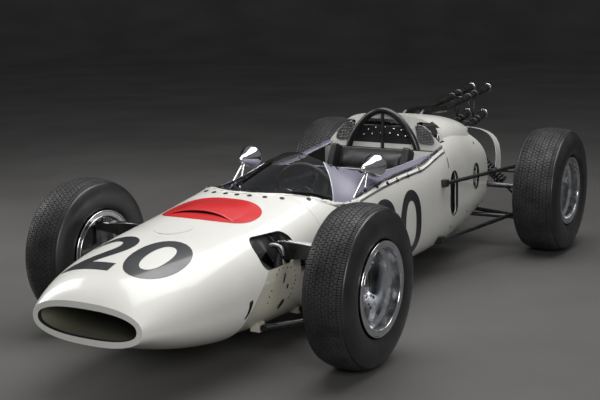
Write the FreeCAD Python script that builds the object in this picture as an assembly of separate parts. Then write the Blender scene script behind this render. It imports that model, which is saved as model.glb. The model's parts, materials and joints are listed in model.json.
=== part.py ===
import FreeCAD, Part
import math
import os
from collections import namedtuple

# Open wheel racing car with a monocoque tub, a transverse twelve-cylinder engine
# behind the driver and outboard wheels.
# Millimetres, +Z up. The nose points along -Y and the car's left side is +X.
# The origin lies on the ground below the middle of the overall length.

V = FreeCAD.Vector

# Stance
WHEELBASE = 2300.0
FRONT_TRACK = 1350.0
REAR_TRACK = 1370.0
NOSE_OVERHANG = 800.0
TAIL_OVERHANG = 660.0
OVERALL_LENGTH = NOSE_OVERHANG + WHEELBASE + TAIL_OVERHANG
FRONT_AXLE_Y = NOSE_OVERHANG - OVERALL_LENGTH / 2
REAR_AXLE_Y = FRONT_AXLE_Y + WHEELBASE
TAIL_Y = REAR_AXLE_Y + TAIL_OVERHANG

# Clearances
SEAT_GAP = 0.3
PANEL_GAP = 2.0

# Tyres and rims
FRONT_TYRE_RADIUS = 322.0
FRONT_TYRE_WIDTH = 200.0
REAR_TYRE_RADIUS = 340.0
REAR_TYRE_WIDTH = 252.0
TYRE_WALL = 11.0
BEAD_RADIUS = 166.0
RIM_FLANGE_RISE = 19.0
RIM_DROP = 15.0
RIM_WALL = 6.0
FRONT_RIM_WIDTH = 190.0
REAR_RIM_WIDTH = 214.0
SPOKE_COUNT = 5
SPOKE_WIDTH = 66.0
SPOKE_WAIST = 46.0
SPOKE_THICKNESS = 16.0
SPOKE_HOLE = 20.0
SPOKE_HOLE_PLACE = 100.0
HUB_RADIUS = 48.0
HUB_BORE_RADIUS = 22.0
HUB_NUT_RADIUS = 30.0
HUB_NUT_LENGTH = 24.0

# Brakes and hubs, placed inboard of the middle plane of each wheel
DISC_RADIUS = 118.0
CALIPER_REACH = 136.0
CALIPER_HALF_HEIGHT = 28.0
CALIPER_PLATE = 6.0
PAD_GAP = 2.0
DISC_THICKNESS = 12.0
DISC_INSET = 48.0
BELL_RADIUS = 62.0
FRONT_KINGPIN_INSET = 80.0
REAR_UPRIGHT_INSET = 96.0
AXLE_RADIUS = 18.0
BEARING_CLEARANCE = 0.5

# Front suspension and steering
UPPER_JOINT_RISE = 118.0
LOWER_JOINT_DROP = 126.0
STEER_ARM_LENGTH = 110.0
STEER_ARM_DROP = 34.0
RACK_HEIGHT = 372.0
RACK_HALF_LENGTH = 300.0
RACK_RADIUS = 12.0
TIE_ROD_RADIUS = 8.0
ARM_TUBE_RADIUS = 12.0
BALL_JOINT_RADIUS = 16.0
EYE_SHOULDER = 2.5
LOWER_ARM_BASE = 150.0
LOWER_ARM_INNER_X = 336.0
LOWER_ARM_INNER_Z = 150.0
ROCKER_PIVOT_X = 262.0
ROCKER_PIVOT_Z = 425.0
ROCKER_THICKNESS = 44.0
ROCKER_ROOT_DEPTH = 84.0
ROCKER_TIP_DEPTH = 44.0

# Rear suspension
REAR_LOWER_JOINT_Z = 165.0
REAR_BALL_RADIUS = 17.0
REAR_ARM_BASE = 90.0
CRADLE_HALF = 132.0
CRADLE_Z = 178.0
DAMPER_BEAM_HALF = 200.0

# Engine
BANK_TILT_DEG = 30.0
BANK_HEIGHT = 300.0
TRUMPET_PITCH = 74.0
TRUMPET_LENGTH = 96.0
TOW_EYE_RADIUS = 13.0
GEARBOX_HALF = 120.0

# Exhausts
PIPE_RADIUS = 18.0
PIPE_WALL = 2.0
MEGAPHONE_RADIUS = 26.0
MEGAPHONE_CUFF = 26.0
EXHAUST_HALF_SPACING = 52.0
PIPE_LEAD = 120.0
PIPE_BEND = 60.0
LOWER_PORT_SPREAD = 90.0

# Body shell
SKIN = 4.0
MOUTH_LIP = 24.0
MOUTH_WALL = 18.0
SCUTTLE_SEAM_BACK = 262.0
COVER_SEAM_AHEAD = 700.0
COVER_END_BACK = 232.0
REAR_BAND = 70.0
BAND_FOOT = 300.0
MESH_THICKNESS = 2.0
SECTION_POINTS = 28
COCKPIT_HALF_WIDTH = 352.0
TROUGH_HALF_WIDTH = 268.0
TROUGH_FLOOR = 118.0
LEDGE_HEIGHT = 498.0
BULKHEAD_THICKNESS = 46.0
BULKHEAD_TOP = 618.0
FLANGE_WALL = 3.0
FLANGE_DEPTH = 14.0
FLANGE_TOP = 600.0
FRONT_BOX_STEP = 8.0
FRONT_BOX_WALL = 5.0
FRONT_BOX_AHEAD = 330.0
RACK_HOUSING_RADIUS = 26.0
SCREEN_WALL = 3.0
SCREEN_LIP = 13.0
MIRROR_STALK_RADIUS = 5.0
MIRROR_LENGTH = 132.0
MIRROR_TOE_DEG = 6.0
COLUMN_RADIUS = 11.0

# Hump over the engine, with a front wall that sweeps back towards the flanks
SWEEP_START = 150.0
SWEEP_END = 316.0
SWEEP_SLOPE = 0.4
WALL_FLOOR = 645.0

# Seat, as a side view from its heel up along the back
SEAT_FRONT = 880.0
SEAT_HEEL = 1262.0
SEAT_SLOPE_DEG = 65.6
SEAT_BACK_LENGTH = 556.0
SEAT_BOLSTER = 80.0
SEAT_HALF = 230.0
SEAT_SHELL = 12.0
CUSHION_HALF = 190.0
CUSHION_THICKNESS = 60.0

# Roll hoop
HOOP_CROWN = 818.0
HOOP_RADIUS = 17.0
HOOP_POST_RADIUS = 9.0

# Coil springs
SPRING_RADIUS = 27.0
SPRING_WIRE = 5.0
SPRING_TURNS = 8
SPRING_COLLAR = 6.0
DAMPER_BODY_RADIUS = 18.0
DAMPER_SPRING_START = 44.0
DAMPER_SPRING_LENGTH = 165.0
HALF_SHAFT_RADIUS = 15.0
SHAFT_NOTCH_RADIUS = HALF_SHAFT_RADIUS + 8.0

SCUTTLE_SEAM_Y = FRONT_AXLE_Y + SCUTTLE_SEAM_BACK
COVER_SEAM_Y = REAR_AXLE_Y - COVER_SEAM_AHEAD
COVER_END_Y = REAR_AXLE_Y + COVER_END_BACK

Station = namedtuple("Station", "y half_width top bottom waist upper_power lower_power")


def ahead(distance):
    """Y of a place that lies a distance behind the front axle."""
    return FRONT_AXLE_Y + distance


def seam(distance):
    """Y of a place that lies a distance behind the engine cover seam."""
    return COVER_SEAM_Y + distance


BODY = [
    Station(ahead(-NOSE_OVERHANG), 250, 368, 212, 290, 2.4, 2.4),
    Station(ahead(-740), 276, 417, 198, 294, 2.4, 2.4),
    Station(ahead(-640), 306, 460, 165, 298, 2.5, 2.5),
    Station(ahead(-450), 340, 507, 118, 302, 2.5, 2.7),
    Station(ahead(-200), 362, 545, 93, 305, 2.5, 3.0),
    Station(ahead(0), 372, 570, 90, 310, 2.6, 3.2),
    Station(ahead(220), 379, 600, 90, 320, 2.8, 3.4),
    Station(ahead(500), 388, 640, 90, 330, 3.0, 3.6),
    Station(seam(-700), 392, 680, 90, 340, 3.2, 3.6),
    Station(seam(-300), 390, 708, 90, 340, 3.2, 3.6),
    Station(seam(0), 375, 738, 90, 330, 3.6, 3.4),
    Station(seam(350), 348, 722, 110, 345, 3.6, 3.2),
    Station(seam(640), 320, 670, 155, 360, 3.8, 3.0),
    Station(COVER_END_Y, 307, 635, 205, 380, 4.0, 2.8),
]

FRONT_BODY = BODY[:9]
REAR_BODY = BODY[8:]

HUMP = [
    Station(seam(0), 312, 801, 480, 600, 2.8, 4.0),
    Station(seam(300), 296, 771, 460, 592, 3.0, 3.6),
    Station(seam(600), 254, 718, 440, 560, 3.0, 3.0),
    Station(seam(830), 186, 632, 420, 520, 2.6, 2.6),
]


def mirrored(shape):
    return shape.mirror(V(0, 0, 0), V(1, 0, 0))


def both_sides(shape):
    return Part.makeCompound([shape, mirrored(shape)])


def box(x0, x1, y0, y1, z0, z1):
    return Part.makeBox(x1 - x0, y1 - y0, z1 - z0, V(x0, y0, z0))


def edges_along(shape, axis):
    """Straight edges of a shape that run along an axis."""
    return [edge for edge in shape.Edges if abs(edge.tangentAt(edge.FirstParameter).dot(axis)) > 0.9]


def rod(start, end, radius):
    """Straight round bar between two points."""
    axis = end.sub(start)
    return Part.makeCylinder(radius, axis.Length, start, axis)


def bar_across(radius, x, length, y, z):
    """Round bar along X that starts at x."""
    return Part.makeCylinder(radius, length, V(x, y, z), V(1, 0, 0))


def rod_end(centre, radius, half_length, pin):
    """Round bearing housing about a pin axis."""
    return Part.makeCylinder(radius, 2 * half_length, centre.sub(V(pin).multiply(half_length)), pin)


def rod_with_eyes(start, end, radius, eye_radius, pin):
    """Straight round bar with a bearing housing at each end."""
    bar = rod(start, end, radius)
    for point in (start, end):
        bar = bar.fuse(rod_end(point, eye_radius, radius + EYE_SHOULDER, pin))
    return bar.removeSplitter()


def superellipse(station, grow):
    """Closed cross-section of the body, moved outward by grow."""
    points = []
    for index in range(SECTION_POINTS):
        angle = 2 * math.pi * index / SECTION_POINTS
        across = math.cos(angle)
        up = math.sin(angle)
        upper = up >= 0
        power = 2 / (station.upper_power if upper else station.lower_power)
        rise = station.top - station.waist if upper else station.waist - station.bottom
        x = (station.half_width + grow) * math.copysign(abs(across) ** power, across)
        z = station.waist + (rise + grow) * math.copysign(abs(up) ** power, up)
        points.append(V(x, station.y, z))
    curve = Part.BSplineCurve()
    curve.interpolate(Points=points, PeriodicFlag=True)
    return Part.Wire([curve.toShape()])


def loft(stations, grow=0.0):
    return Part.makeLoft([superellipse(station, grow) for station in stations], True, False)


def slice_between(shape, y0, y1):
    return shape.common(box(-900, 900, y0, y1, -10, 1200))


def rounded_slot(x0, x1, y, z, half_length, half_height, radius):
    """Cutter along X with a rounded rectangle in the YZ plane."""
    cutter = box(x0, x1, y - half_length, y + half_length, z - half_height, z + half_height)
    return cutter.makeFillet(radius, edges_along(cutter, V(1, 0, 0)))


def profile_solid(points, half):
    """Solid of a side view, given as (distance, height) pairs, centred on the car."""
    outline = [V(-half, ahead(distance), height) for distance, height in points]
    outline.append(outline[0])
    return Part.Face(Part.makePolygon(outline)).extrude(V(2 * half, 0, 0))


def front_view_solid(points, y, depth):
    """Solid of a front view, given as (offset, height) pairs, extruded rearwards."""
    outline = [V(offset, y, height) for offset, height in points]
    outline.append(outline[0])
    return Part.Face(Part.makePolygon(outline)).extrude(V(0, depth, 0))


def cockpit_outline(grow):
    """Plan of the cockpit opening, widened all round by grow."""
    front = ahead(206) - grow
    half = COCKPIT_HALF_WIDTH + grow
    left = [V(half, ahead(600), 0), V(half - 34, ahead(405), 0), V(half - 142, ahead(292), 0)]
    right = [V(-point.x, point.y, 0) for point in reversed(left)]
    bow = Part.BSplineCurve()
    bow.interpolate(left + [V(0, front, 0)] + right)
    rear_half = half - 20
    corners = [V(-half, ahead(600), 0), V(-half, seam(-330), 0), V(-rear_half, seam(0) - PANEL_GAP, 0)]
    corners += [V(-point.x, point.y, 0) for point in reversed(corners)]
    edges = [bow.toShape()]
    for first, second in zip(corners, corners[1:]):
        edges.append(Part.LineSegment(first, second).toShape())
    return Part.Face(Part.Wire(edges))


def cockpit_prism(grow, z0, z1):
    face = cockpit_outline(grow)
    face.translate(V(0, 0, z0))
    return face.extrude(V(0, 0, z1 - z0))


def cockpit_half(y):
    """Half width of the cockpit opening at a place along the car."""
    line = Part.LineSegment(V(0, y, 0), V(900, y, 0)).toShape()
    return line.common(cockpit_outline(0.0)).Length


def body_top(y, x):
    """Height of the body's upper surface at a place in plan."""
    for first, second in zip(BODY, BODY[1:]):
        if first.y <= y <= second.y:
            break
    share = (y - first.y) / (second.y - first.y)
    half, top, bottom, waist, power, _ = [a + share * (b - a) for a, b in zip(first[1:], second[1:])]
    return waist + (top - waist) * max(0.0, 1 - (abs(x) / half) ** power) ** (1 / power)


def bent_pipe(points, radius, wall, bend):
    """Thin-walled pipe along straight runs joined by tangent arcs."""
    edges = []
    start = points[0]
    for before, corner, after in zip(points, points[1:], points[2:]):
        into = corner.sub(before).normalize()
        out = after.sub(corner).normalize()
        turn = into.getAngle(out)
        reach = bend * math.tan(turn / 2)
        first = corner.sub(V(into).multiply(reach))
        last = corner.add(V(out).multiply(reach))
        inward = V(out).sub(into).normalize()
        middle = corner.add(inward.multiply(bend / math.cos(turn / 2) - bend))
        edges.append(Part.LineSegment(start, first).toShape())
        edges.append(Part.Arc(first, middle, last).toShape())
        start = last
    edges.append(Part.LineSegment(start, points[-1]).toShape())
    path = Part.Wire(edges)
    axis = points[1].sub(points[0])
    outside = path.makePipeShell([Part.Wire([Part.makeCircle(radius, points[0], axis)])], True, False)
    inside = path.makePipeShell([Part.Wire([Part.makeCircle(radius - wall, points[0], axis)])], True, False)
    return outside.cut(inside)


RACK_Y = FRONT_AXLE_Y + STEER_ARM_LENGTH
MIRROR_CENTRE = V(337, ahead(803), 654)
COLUMN_TOP = V(0, ahead(760), 500)
RACK_CENTRE = V(0, RACK_Y, RACK_HEIGHT)
COLUMN_AXIS = COLUMN_TOP.sub(RACK_CENTRE).normalize()
COLUMN_FOOT = RACK_CENTRE.add(V(COLUMN_AXIS).multiply(RACK_HOUSING_RADIUS + SEAT_GAP))

BODY_OUTER = loft(BODY)
BODY_CLEAR = loft(BODY, SEAT_GAP)
BODY_INNER = loft(BODY, -SKIN)
HUMP_OUTER = loft(HUMP)
HUMP_INNER = loft(HUMP, -SKIN)


def nose_cowl():
    shell = slice_between(BODY_OUTER, ahead(-NOSE_OVERHANG), SCUTTLE_SEAM_Y)
    inside = slice_between(BODY_INNER, ahead(-NOSE_OVERHANG) + MOUTH_WALL, SCUTTLE_SEAM_Y + 1)
    shell = shell.cut(inside)
    shell = shell.cut(mouth_solid(0.0))
    shell = shell.cut(cockpit_prism(0.0, LEDGE_HEIGHT, 900))
    rocker_hole = rounded_slot(200, 420, ahead(-62), 438, 118, 62, 50)
    shell = shell.cut(rocker_hole).cut(mirrored(rocker_hole))
    diagonal = Part.Face(Part.makePolygon([
        V(0, ahead(-112), 420), V(0, ahead(-290), 230), V(0, ahead(-380), 40),
        V(0, ahead(400), 40), V(0, ahead(400), 386), V(0, ahead(-60), 386),
        V(0, ahead(-112), 420)]))
    diagonal.translate(V(-500, 0, 0))
    shell = shell.cut(diagonal.extrude(V(1000, 0, 0)))
    return shell


def mouth_section(distance, shrink):
    front = BODY[0]
    return Station(
        ahead(-NOSE_OVERHANG) + distance, front.half_width - MOUTH_LIP - shrink,
        front.top - MOUTH_LIP - shrink, front.bottom + MOUTH_LIP + shrink,
        front.waist, front.upper_power, front.lower_power)


def mouth_solid(shrink):
    return loft([mouth_section(-1, shrink), mouth_section(MOUTH_WALL + 1, shrink)])


def nose_duct():
    start = MOUTH_WALL + SEAT_GAP
    back = ahead(-470) - ahead(-NOSE_OVERHANG)
    outer = loft([mouth_section(start, -SKIN), mouth_section(back, -SKIN - 14)])
    inner = loft([mouth_section(start - 1, 0), mouth_section(back + 1, -14)])
    return outer.cut(inner)


def radiator():
    core = box(-238, 238, ahead(-470) + SEAT_GAP, ahead(-420), 176, 392)
    return core.makeFillet(20, edges_along(core, V(0, 1, 0)))


def front_bulkhead():
    """Riveted box at the front of the tub that carries the front suspension."""
    start = ahead(-FRONT_BOX_AHEAD)
    end = SCUTTLE_SEAM_Y + PANEL_GAP - SEAT_GAP
    step = SKIN + FRONT_BOX_STEP
    outer = slice_between(loft(FRONT_BODY, -step), start, end)
    hollow = loft(FRONT_BODY, -step - FRONT_BOX_WALL)
    middle = loft(FRONT_BODY, -step - FRONT_BOX_WALL / 2)
    shell = outer.cut(slice_between(hollow, start + FRONT_BOX_WALL, end + 1))
    leg_hole = box(-212, 212, start - 10, end + 10, 132, 500)
    rocker_slot = rounded_slot(250, 420, ahead(-58), 434, 108, 58, 40)
    rack_slot = box(290, 420, RACK_Y - 24, RACK_Y + 24, 322, 398)
    for cutter in (rocker_slot, rack_slot):
        shell = shell.cut(cutter).cut(mirrored(cutter))
    half_gap = ROCKER_THICKNESS / 2 + SEAT_GAP
    for y0, y1 in ((-half_gap - 6, -half_gap), (half_gap, half_gap + 6)):
        plate = slice_between(middle, ahead(0) + y0, ahead(0) + y1)
        shell = shell.fuse(plate)
    shell = shell.cut(slice_between(leg_hole, start + 20, end + 10))
    pad_face = LOWER_ARM_INNER_X - ARM_TUBE_RADIUS - 2 - SEAT_GAP
    for side in (-1, 1):
        y = FRONT_AXLE_Y + side * LOWER_ARM_BASE
        pad = box(pad_face - 40, pad_face, y - 20, y + 20, LOWER_ARM_INNER_Z - 18, LOWER_ARM_INNER_Z + 18)
        pad = pad.cut(middle)
        shell = shell.fuse(pad).fuse(mirrored(pad))
    return shell.removeSplitter()


def monocoque_tub():
    tub = slice_between(BODY_OUTER, SCUTTLE_SEAM_Y + PANEL_GAP, COVER_SEAM_Y - PANEL_GAP / 2)
    trough_start = SCUTTLE_SEAM_Y - 10
    trough_end = COVER_SEAM_Y - BULKHEAD_THICKNESS
    trough = box(-TROUGH_HALF_WIDTH, TROUGH_HALF_WIDTH, trough_start, trough_end, TROUGH_FLOOR, 900)
    edges = [edge for edge in edges_along(trough, V(0, 1, 0)) if edge.CenterOfMass.z < 200]
    tub = tub.cut(trough.makeFillet(60, edges))
    tub = tub.cut(slice_between(cockpit_prism(0.0, LEDGE_HEIGHT, 900), SCUTTLE_SEAM_Y - 50, trough_end))
    tub = tub.cut(slice_between(cockpit_prism(0.0, BULKHEAD_TOP, 900), trough_end, COVER_SEAM_Y))
    flange = loft(REAR_BODY, -SKIN - SEAT_GAP).cut(loft(REAR_BODY, -SKIN - SEAT_GAP - FLANGE_WALL))
    flange = slice_between(flange, COVER_SEAM_Y - PANEL_GAP, COVER_SEAM_Y + FLANGE_DEPTH)
    return tub.fuse(flange.common(box(-500, 500, seam(-20), seam(40), 0, FLANGE_TOP)))


def screen_section(y, half, rise, drop):
    """Closed section of the screen: a bell curve that ends on the body's surface."""
    points = []
    steps = 12
    base = body_top(y, half) + SCREEN_WALL
    height = body_top(y, 0) + rise - base
    for index in range(steps + 1):
        t = -1 + 2 * index / steps
        bell = (0.5 * (1 + math.cos(math.pi * t))) ** 0.9
        points.append(V(half * t, y, base + height * bell - drop))
    curve = Part.BSplineCurve()
    curve.interpolate(points)
    floor_z = 500
    corners = [points[-1], V(half, y, floor_z), V(-half, y, floor_z), points[0]]
    edges = [curve.toShape()]
    for first, second in zip(corners, corners[1:]):
        edges.append(Part.LineSegment(first, second).toShape())
    return Part.Wire(edges)


SCREEN = [
    (ahead(209), 5),
    (ahead(245), 14),
    (ahead(292), 22),
    (ahead(345), 30),
    (ahead(405), 38),
    (ahead(460), 45),
    (ahead(520), 52),
    (ahead(650), 60),
    (ahead(900), 30),
    (ahead(1200), 4),
    (ahead(1430), -4),
    (seam(-PANEL_GAP), -14),
]


def screen_dome(drop):
    sections = []
    for y, rise in SCREEN:
        half = cockpit_half(min(y, seam(-PANEL_GAP) - 1)) + 1
        sections.append(screen_section(y, half, rise, drop))
    return Part.makeLoft(sections, True, False)


def windscreen():
    dome = screen_dome(0).cut(screen_dome(SCREEN_WALL)).common(cockpit_prism(0.0, LEDGE_HEIGHT, 900))
    flange = loft(BODY, SEAT_GAP + SCREEN_WALL).cut(BODY_CLEAR)
    flange = flange.common(cockpit_prism(SCREEN_LIP, LEDGE_HEIGHT, 900)).cut(cockpit_prism(-5.0, 400, 1000))
    shell = slice_between(dome.fuse(flange), ahead(100), COVER_SEAM_Y - PANEL_GAP)
    edge = Part.BSplineCurve()
    half = [V(262, ahead(1020), 0), V(205, ahead(790), 0), V(120, ahead(690), 0)]
    edge.interpolate(half + [V(0, ahead(662), 0)] + [V(-p.x, p.y, 0) for p in reversed(half)])
    corners = [V(-262, ahead(1020), 0), V(-308, seam(-140), 0), V(-312, seam(10), 0)]
    corners += [V(-point.x, point.y, 0) for point in reversed(corners)]
    edges = [edge.toShape()]
    for first, second in zip(corners, corners[1:]):
        edges.append(Part.LineSegment(first, second).toShape())
    opening = Part.Face(Part.Wire(edges))
    opening.translate(V(0, 0, LEDGE_HEIGHT))
    shell = shell.cut(opening.extrude(V(0, 0, 400)))
    stalk_hole = mirror_stalks(MIRROR_STALK_RADIUS + SEAT_GAP)
    shell = shell.cut(stalk_hole).cut(mirrored(stalk_hole))
    return largest_solid(shell)


def largest_solid(shape):
    return max(shape.Solids, key=lambda solid: solid.Volume)


def ahead_of_wall(lift):
    """Room on the left ahead of the hump's swept front wall."""
    start = COVER_SEAM_Y + PANEL_GAP / 2 + lift
    swept = (SWEEP_END - SWEEP_START) * SWEEP_SLOPE
    corners = [V(SWEEP_START, start, WALL_FLOOR), V(SWEEP_END, start + swept, WALL_FLOOR),
               V(SWEEP_END, start - 60, WALL_FLOOR), V(SWEEP_START, start - 60, WALL_FLOOR)]
    corners.append(corners[0])
    return Part.Face(Part.makePolygon(corners)).extrude(V(0, 0, 250))


def engine_cover():
    start = COVER_SEAM_Y + PANEL_GAP / 2
    outer = slice_between(BODY_OUTER.fuse(HUMP_OUTER), start, COVER_END_Y)
    hollow = slice_between(BODY_INNER, start - 1, COVER_END_Y + 1)
    hump_hollow = slice_between(HUMP_INNER, start + SKIN, COVER_END_Y)
    cover = outer.cut(hollow.fuse(hump_hollow))
    room = ahead_of_wall(0)
    wall = slice_between(ahead_of_wall(SKIN).cut(room).common(HUMP_OUTER), start, start + 200)
    cover = cover.cut(room).cut(mirrored(room)).fuse(wall).fuse(mirrored(wall))
    cover = cover.cut(hoop_window()).cut(grille_window(0)).cut(mirrored(grille_window(0)))
    for y, z, half_length, half_height in COVER_SLOTS:
        slot = rounded_slot(200, 420, y, z, half_length, half_height, half_length - 1)
        cover = cover.cut(slot).cut(mirrored(slot))
    arch = wheel_side_window()
    cover = cover.cut(arch).cut(mirrored(arch))
    shaft_notch = bar_across(SHAFT_NOTCH_RADIUS, 200, 200, REAR_AXLE_Y, wheel_centre(False).z)
    cover = cover.cut(shaft_notch).cut(mirrored(shaft_notch))
    cover = cover.cut(box(-240, 240, seam(80), COVER_END_Y + 10, 60, 330))
    return largest_solid(cover.cut(pipe_window()))


COVER_SLOTS = [
    (seam(60), 392, 35, 113),
    (seam(442), 424, 30, 66),
]


def hoop_window():
    """Opening behind the roll hoop, in the middle of the hump's front wall."""
    left = [(198, WALL_FLOOR - 30), (194, WALL_FLOOR), (148, 715), (108, 772)]
    right = [(-offset, height) for offset, height in reversed(left)]
    return front_view_solid(left + right, COVER_SEAM_Y - 5, 45)


def grille_window(grow):
    """Opening beside the roll hoop, in the swept part of the front wall."""
    points = [(178, 754), (194, 762), (242, 756), (270, 734), (290, 676),
              (288, 656), (268, 650), (206, 654), (184, 706)]
    middle = (236, 704)
    grown = []
    for offset, height in points:
        reach = math.hypot(offset - middle[0], height - middle[1])
        share = 1 + grow / reach
        grown.append((middle[0] + (offset - middle[0]) * share, middle[1] + (height - middle[1]) * share))
    return front_view_solid(grown, COVER_SEAM_Y - 5, 110)


def wheel_side_window():
    """Opening in the flank ahead of the rear band, open downwards."""
    front = [(2128, 662), (2170, 627), (2250, 548), (2304, 400), (2306, 240), (2298, 80)]
    curve = Part.BSplineCurve()
    curve.interpolate([V(150, ahead(distance), height) for distance, height in front])
    band_front = COVER_END_Y - REAR_BAND
    corners = [V(150, ahead(2298), 80), V(150, COVER_END_Y + 10, 80), V(150, COVER_END_Y + 10, BAND_FOOT),
               V(150, band_front, BAND_FOOT), V(150, band_front, 662), V(150, ahead(2128), 662)]
    edges = [curve.toShape()]
    for first, second in zip(corners, corners[1:]):
        edges.append(Part.LineSegment(first, second).toShape())
    return Part.Face(Part.Wire(edges)).extrude(V(350, 0, 0))


def pipe_window():
    """Opening in the top of the hump that the upper exhaust pipes leave by."""
    left = [V(92, seam(290), 600), V(118, seam(420), 600), V(164, seam(530), 600), V(96, seam(600), 600)]
    right = [V(-point.x, point.y, point.z) for point in reversed(left)]
    outline = left + right
    outline.append(outline[0])
    return Part.Face(Part.makePolygon(outline)).extrude(V(0, 0, 300))


def cover_grilles():
    """Wire mesh panels that fill the openings beside the roll hoop."""
    front = SKIN + SEAT_GAP
    plate = ahead_of_wall(front + MESH_THICKNESS).cut(ahead_of_wall(front))
    plate = plate.common(grille_window(7)).common(loft(HUMP, -SKIN - SEAT_GAP))
    return both_sides(plate)


def roll_hoop():
    y = COVER_SEAM_Y - 24
    foot = BULKHEAD_TOP + SEAT_GAP
    left = [V(199, y, foot), V(166, y, 694), V(121, y, 753), V(69, y, 797)]
    right = [V(-point.x, y, point.z) for point in reversed(left)]
    curve = Part.BSplineCurve()
    curve.interpolate(left + [V(0, y, HOOP_CROWN)] + right)
    start = curve.value(curve.FirstParameter)
    circle = Part.Wire([Part.makeCircle(HOOP_RADIUS, start, curve.tangent(curve.FirstParameter)[0])])
    hoop = Part.Wire([curve.toShape()]).makePipeShell([circle], True, False)
    post = rod(V(0, y, foot), V(0, y, HOOP_CROWN), HOOP_POST_RADIUS)
    return hoop.fuse(post).cut(box(-300, 300, y - 60, y + 60, foot - 60, foot))


def seat_back_place(along, lift):
    """Side view place along the rear face of the seat, lifted off it forwards."""
    slope = math.radians(SEAT_SLOPE_DEG)
    distance = SEAT_HEEL + along * math.cos(slope) - lift * math.sin(slope)
    height = TROUGH_FLOOR + SEAT_GAP + along * math.sin(slope) + lift * math.cos(slope)
    return distance, height


def seat():
    """Seat shell with raised sides and a pocket for the cushions."""
    floor_z = TROUGH_FLOOR + SEAT_GAP
    block = profile_solid([
        (SEAT_FRONT, floor_z), (SEAT_HEEL, floor_z), seat_back_place(SEAT_BACK_LENGTH, 0),
        seat_back_place(SEAT_BACK_LENGTH, SEAT_BOLSTER), seat_back_place(SEAT_BOLSTER, SEAT_BOLSTER),
        (SEAT_FRONT, floor_z + SEAT_BOLSTER + 20)], SEAT_HALF)
    block = block.makeFillet(18, [edge for edge in block.Edges if edge.Length > 60])
    heel = seat_back_place(SEAT_SHELL, SEAT_SHELL)
    pocket = profile_solid([
        (SEAT_FRONT - 30, floor_z + SEAT_SHELL), (heel[0], floor_z + SEAT_SHELL),
        seat_back_place(SEAT_BACK_LENGTH + 60, SEAT_SHELL), seat_back_place(SEAT_BACK_LENGTH + 60, 400),
        (SEAT_FRONT - 30, 500)], CUSHION_HALF + SEAT_GAP)
    return block.cut(pocket)


def seat_cushions():
    """Base and back pads that fill the pocket of the seat shell."""
    bottom = TROUGH_FLOOR + SEAT_SHELL + 2 * SEAT_GAP
    lift = SEAT_SHELL + SEAT_GAP
    top = lift + CUSHION_THICKNESS
    base = profile_solid([
        (SEAT_FRONT + 12, bottom), (SEAT_HEEL - 68, bottom),
        (SEAT_HEEL - 74, bottom + CUSHION_THICKNESS + 12),
        (SEAT_FRONT + 12, bottom + CUSHION_THICKNESS + 24)], CUSHION_HALF)
    back = profile_solid([
        seat_back_place(20, lift), seat_back_place(SEAT_BACK_LENGTH - 8, lift),
        seat_back_place(SEAT_BACK_LENGTH - 8, top), seat_back_place(20, top)], CUSHION_HALF)
    pads = [pad.makeFillet(16, pad.Edges) for pad in (base, back)]
    return Part.makeCompound(pads)


def dash_panel():
    y = ahead(560)
    side = TROUGH_HALF_WIDTH - SEAT_GAP
    plate = box(-side, side, y, y + 4, 400, 550)
    plate = plate.cut(box(-110, 110, y - 2, y + 6, 390, 430))
    for x, radius in ((0, 52), (-120, 32), (120, 32)):
        bezel = Part.makeCylinder(radius, 22, V(x, y + 4, 500), V(0, 1, 0))
        plate = plate.fuse(bezel)
    return plate.cut(rod(COLUMN_FOOT, COLUMN_TOP, COLUMN_RADIUS + 6))


def mirror_stalks(radius):
    """Pair of stalks that carry the left mirror from the ledge beside the cockpit."""
    top = V(MIRROR_CENTRE.x - 8, MIRROR_CENTRE.y - 50, MIRROR_CENTRE.z - 6)
    front = rod(V(326, MIRROR_CENTRE.y - 243, LEDGE_HEIGHT - 10), top, radius)
    rear = rod(V(330, MIRROR_CENTRE.y - 113, LEDGE_HEIGHT - 10), top, radius)
    return front.fuse(rear).cut(box(200, 400, ahead(400), ahead(900), 400, LEDGE_HEIGHT + SEAT_GAP))


def mirrors():
    """Bullet-shaped mirrors with their glass towards the rear."""
    curve = Part.BSplineCurve()
    curve.interpolate([V(46, 0, 0), V(54, 0, 14), V(48, 0, 44), V(31, 0, 84), V(12, 0, 122),
                       V(0, 0, MIRROR_LENGTH)])
    axis = Part.LineSegment(V(0, 0, MIRROR_LENGTH), V(0, 0, 0)).toShape()
    glass = Part.LineSegment(V(0, 0, 0), V(46, 0, 0)).toShape()
    head = Part.Face(Part.Wire([axis, glass, curve.toShape()])).revolve(V(0, 0, 0), V(0, 0, 1), 360)
    head.rotate(V(0, 0, 0), V(1, 0, 0), 90)
    head.rotate(V(0, 0, 0), V(0, 0, 1), -MIRROR_TOE_DEG)
    head.translate(V(MIRROR_CENTRE.x, MIRROR_CENTRE.y + 32, MIRROR_CENTRE.z))
    return both_sides(head.fuse(mirror_stalks(MIRROR_STALK_RADIUS)).removeSplitter())


def bank_placement(side):
    tilt = FreeCAD.Rotation(V(1, 0, 0), -BANK_TILT_DEG * side)
    return FreeCAD.Placement(V(0, seam(295), 300), tilt)


def engine_block():
    case = box(-236, 236, seam(130), seam(470), 120, 400)
    case = case.makeFillet(30, edges_along(case, V(1, 0, 0)))
    for side in (-1, 1):
        bank = box(-240, 240, -58, 58, 0, BANK_HEIGHT)
        bank = bank.makeFillet(14, edges_along(bank, V(1, 0, 0)))
        bank.Placement = bank_placement(side)
        case = case.fuse(bank)
        arm = box(170, 200, COVER_SEAM_Y - PANEL_GAP / 2 + SEAT_GAP, seam(150), 290, 340)
        case = case.fuse(arm if side > 0 else mirrored(arm))
    return case.removeSplitter()


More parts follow.
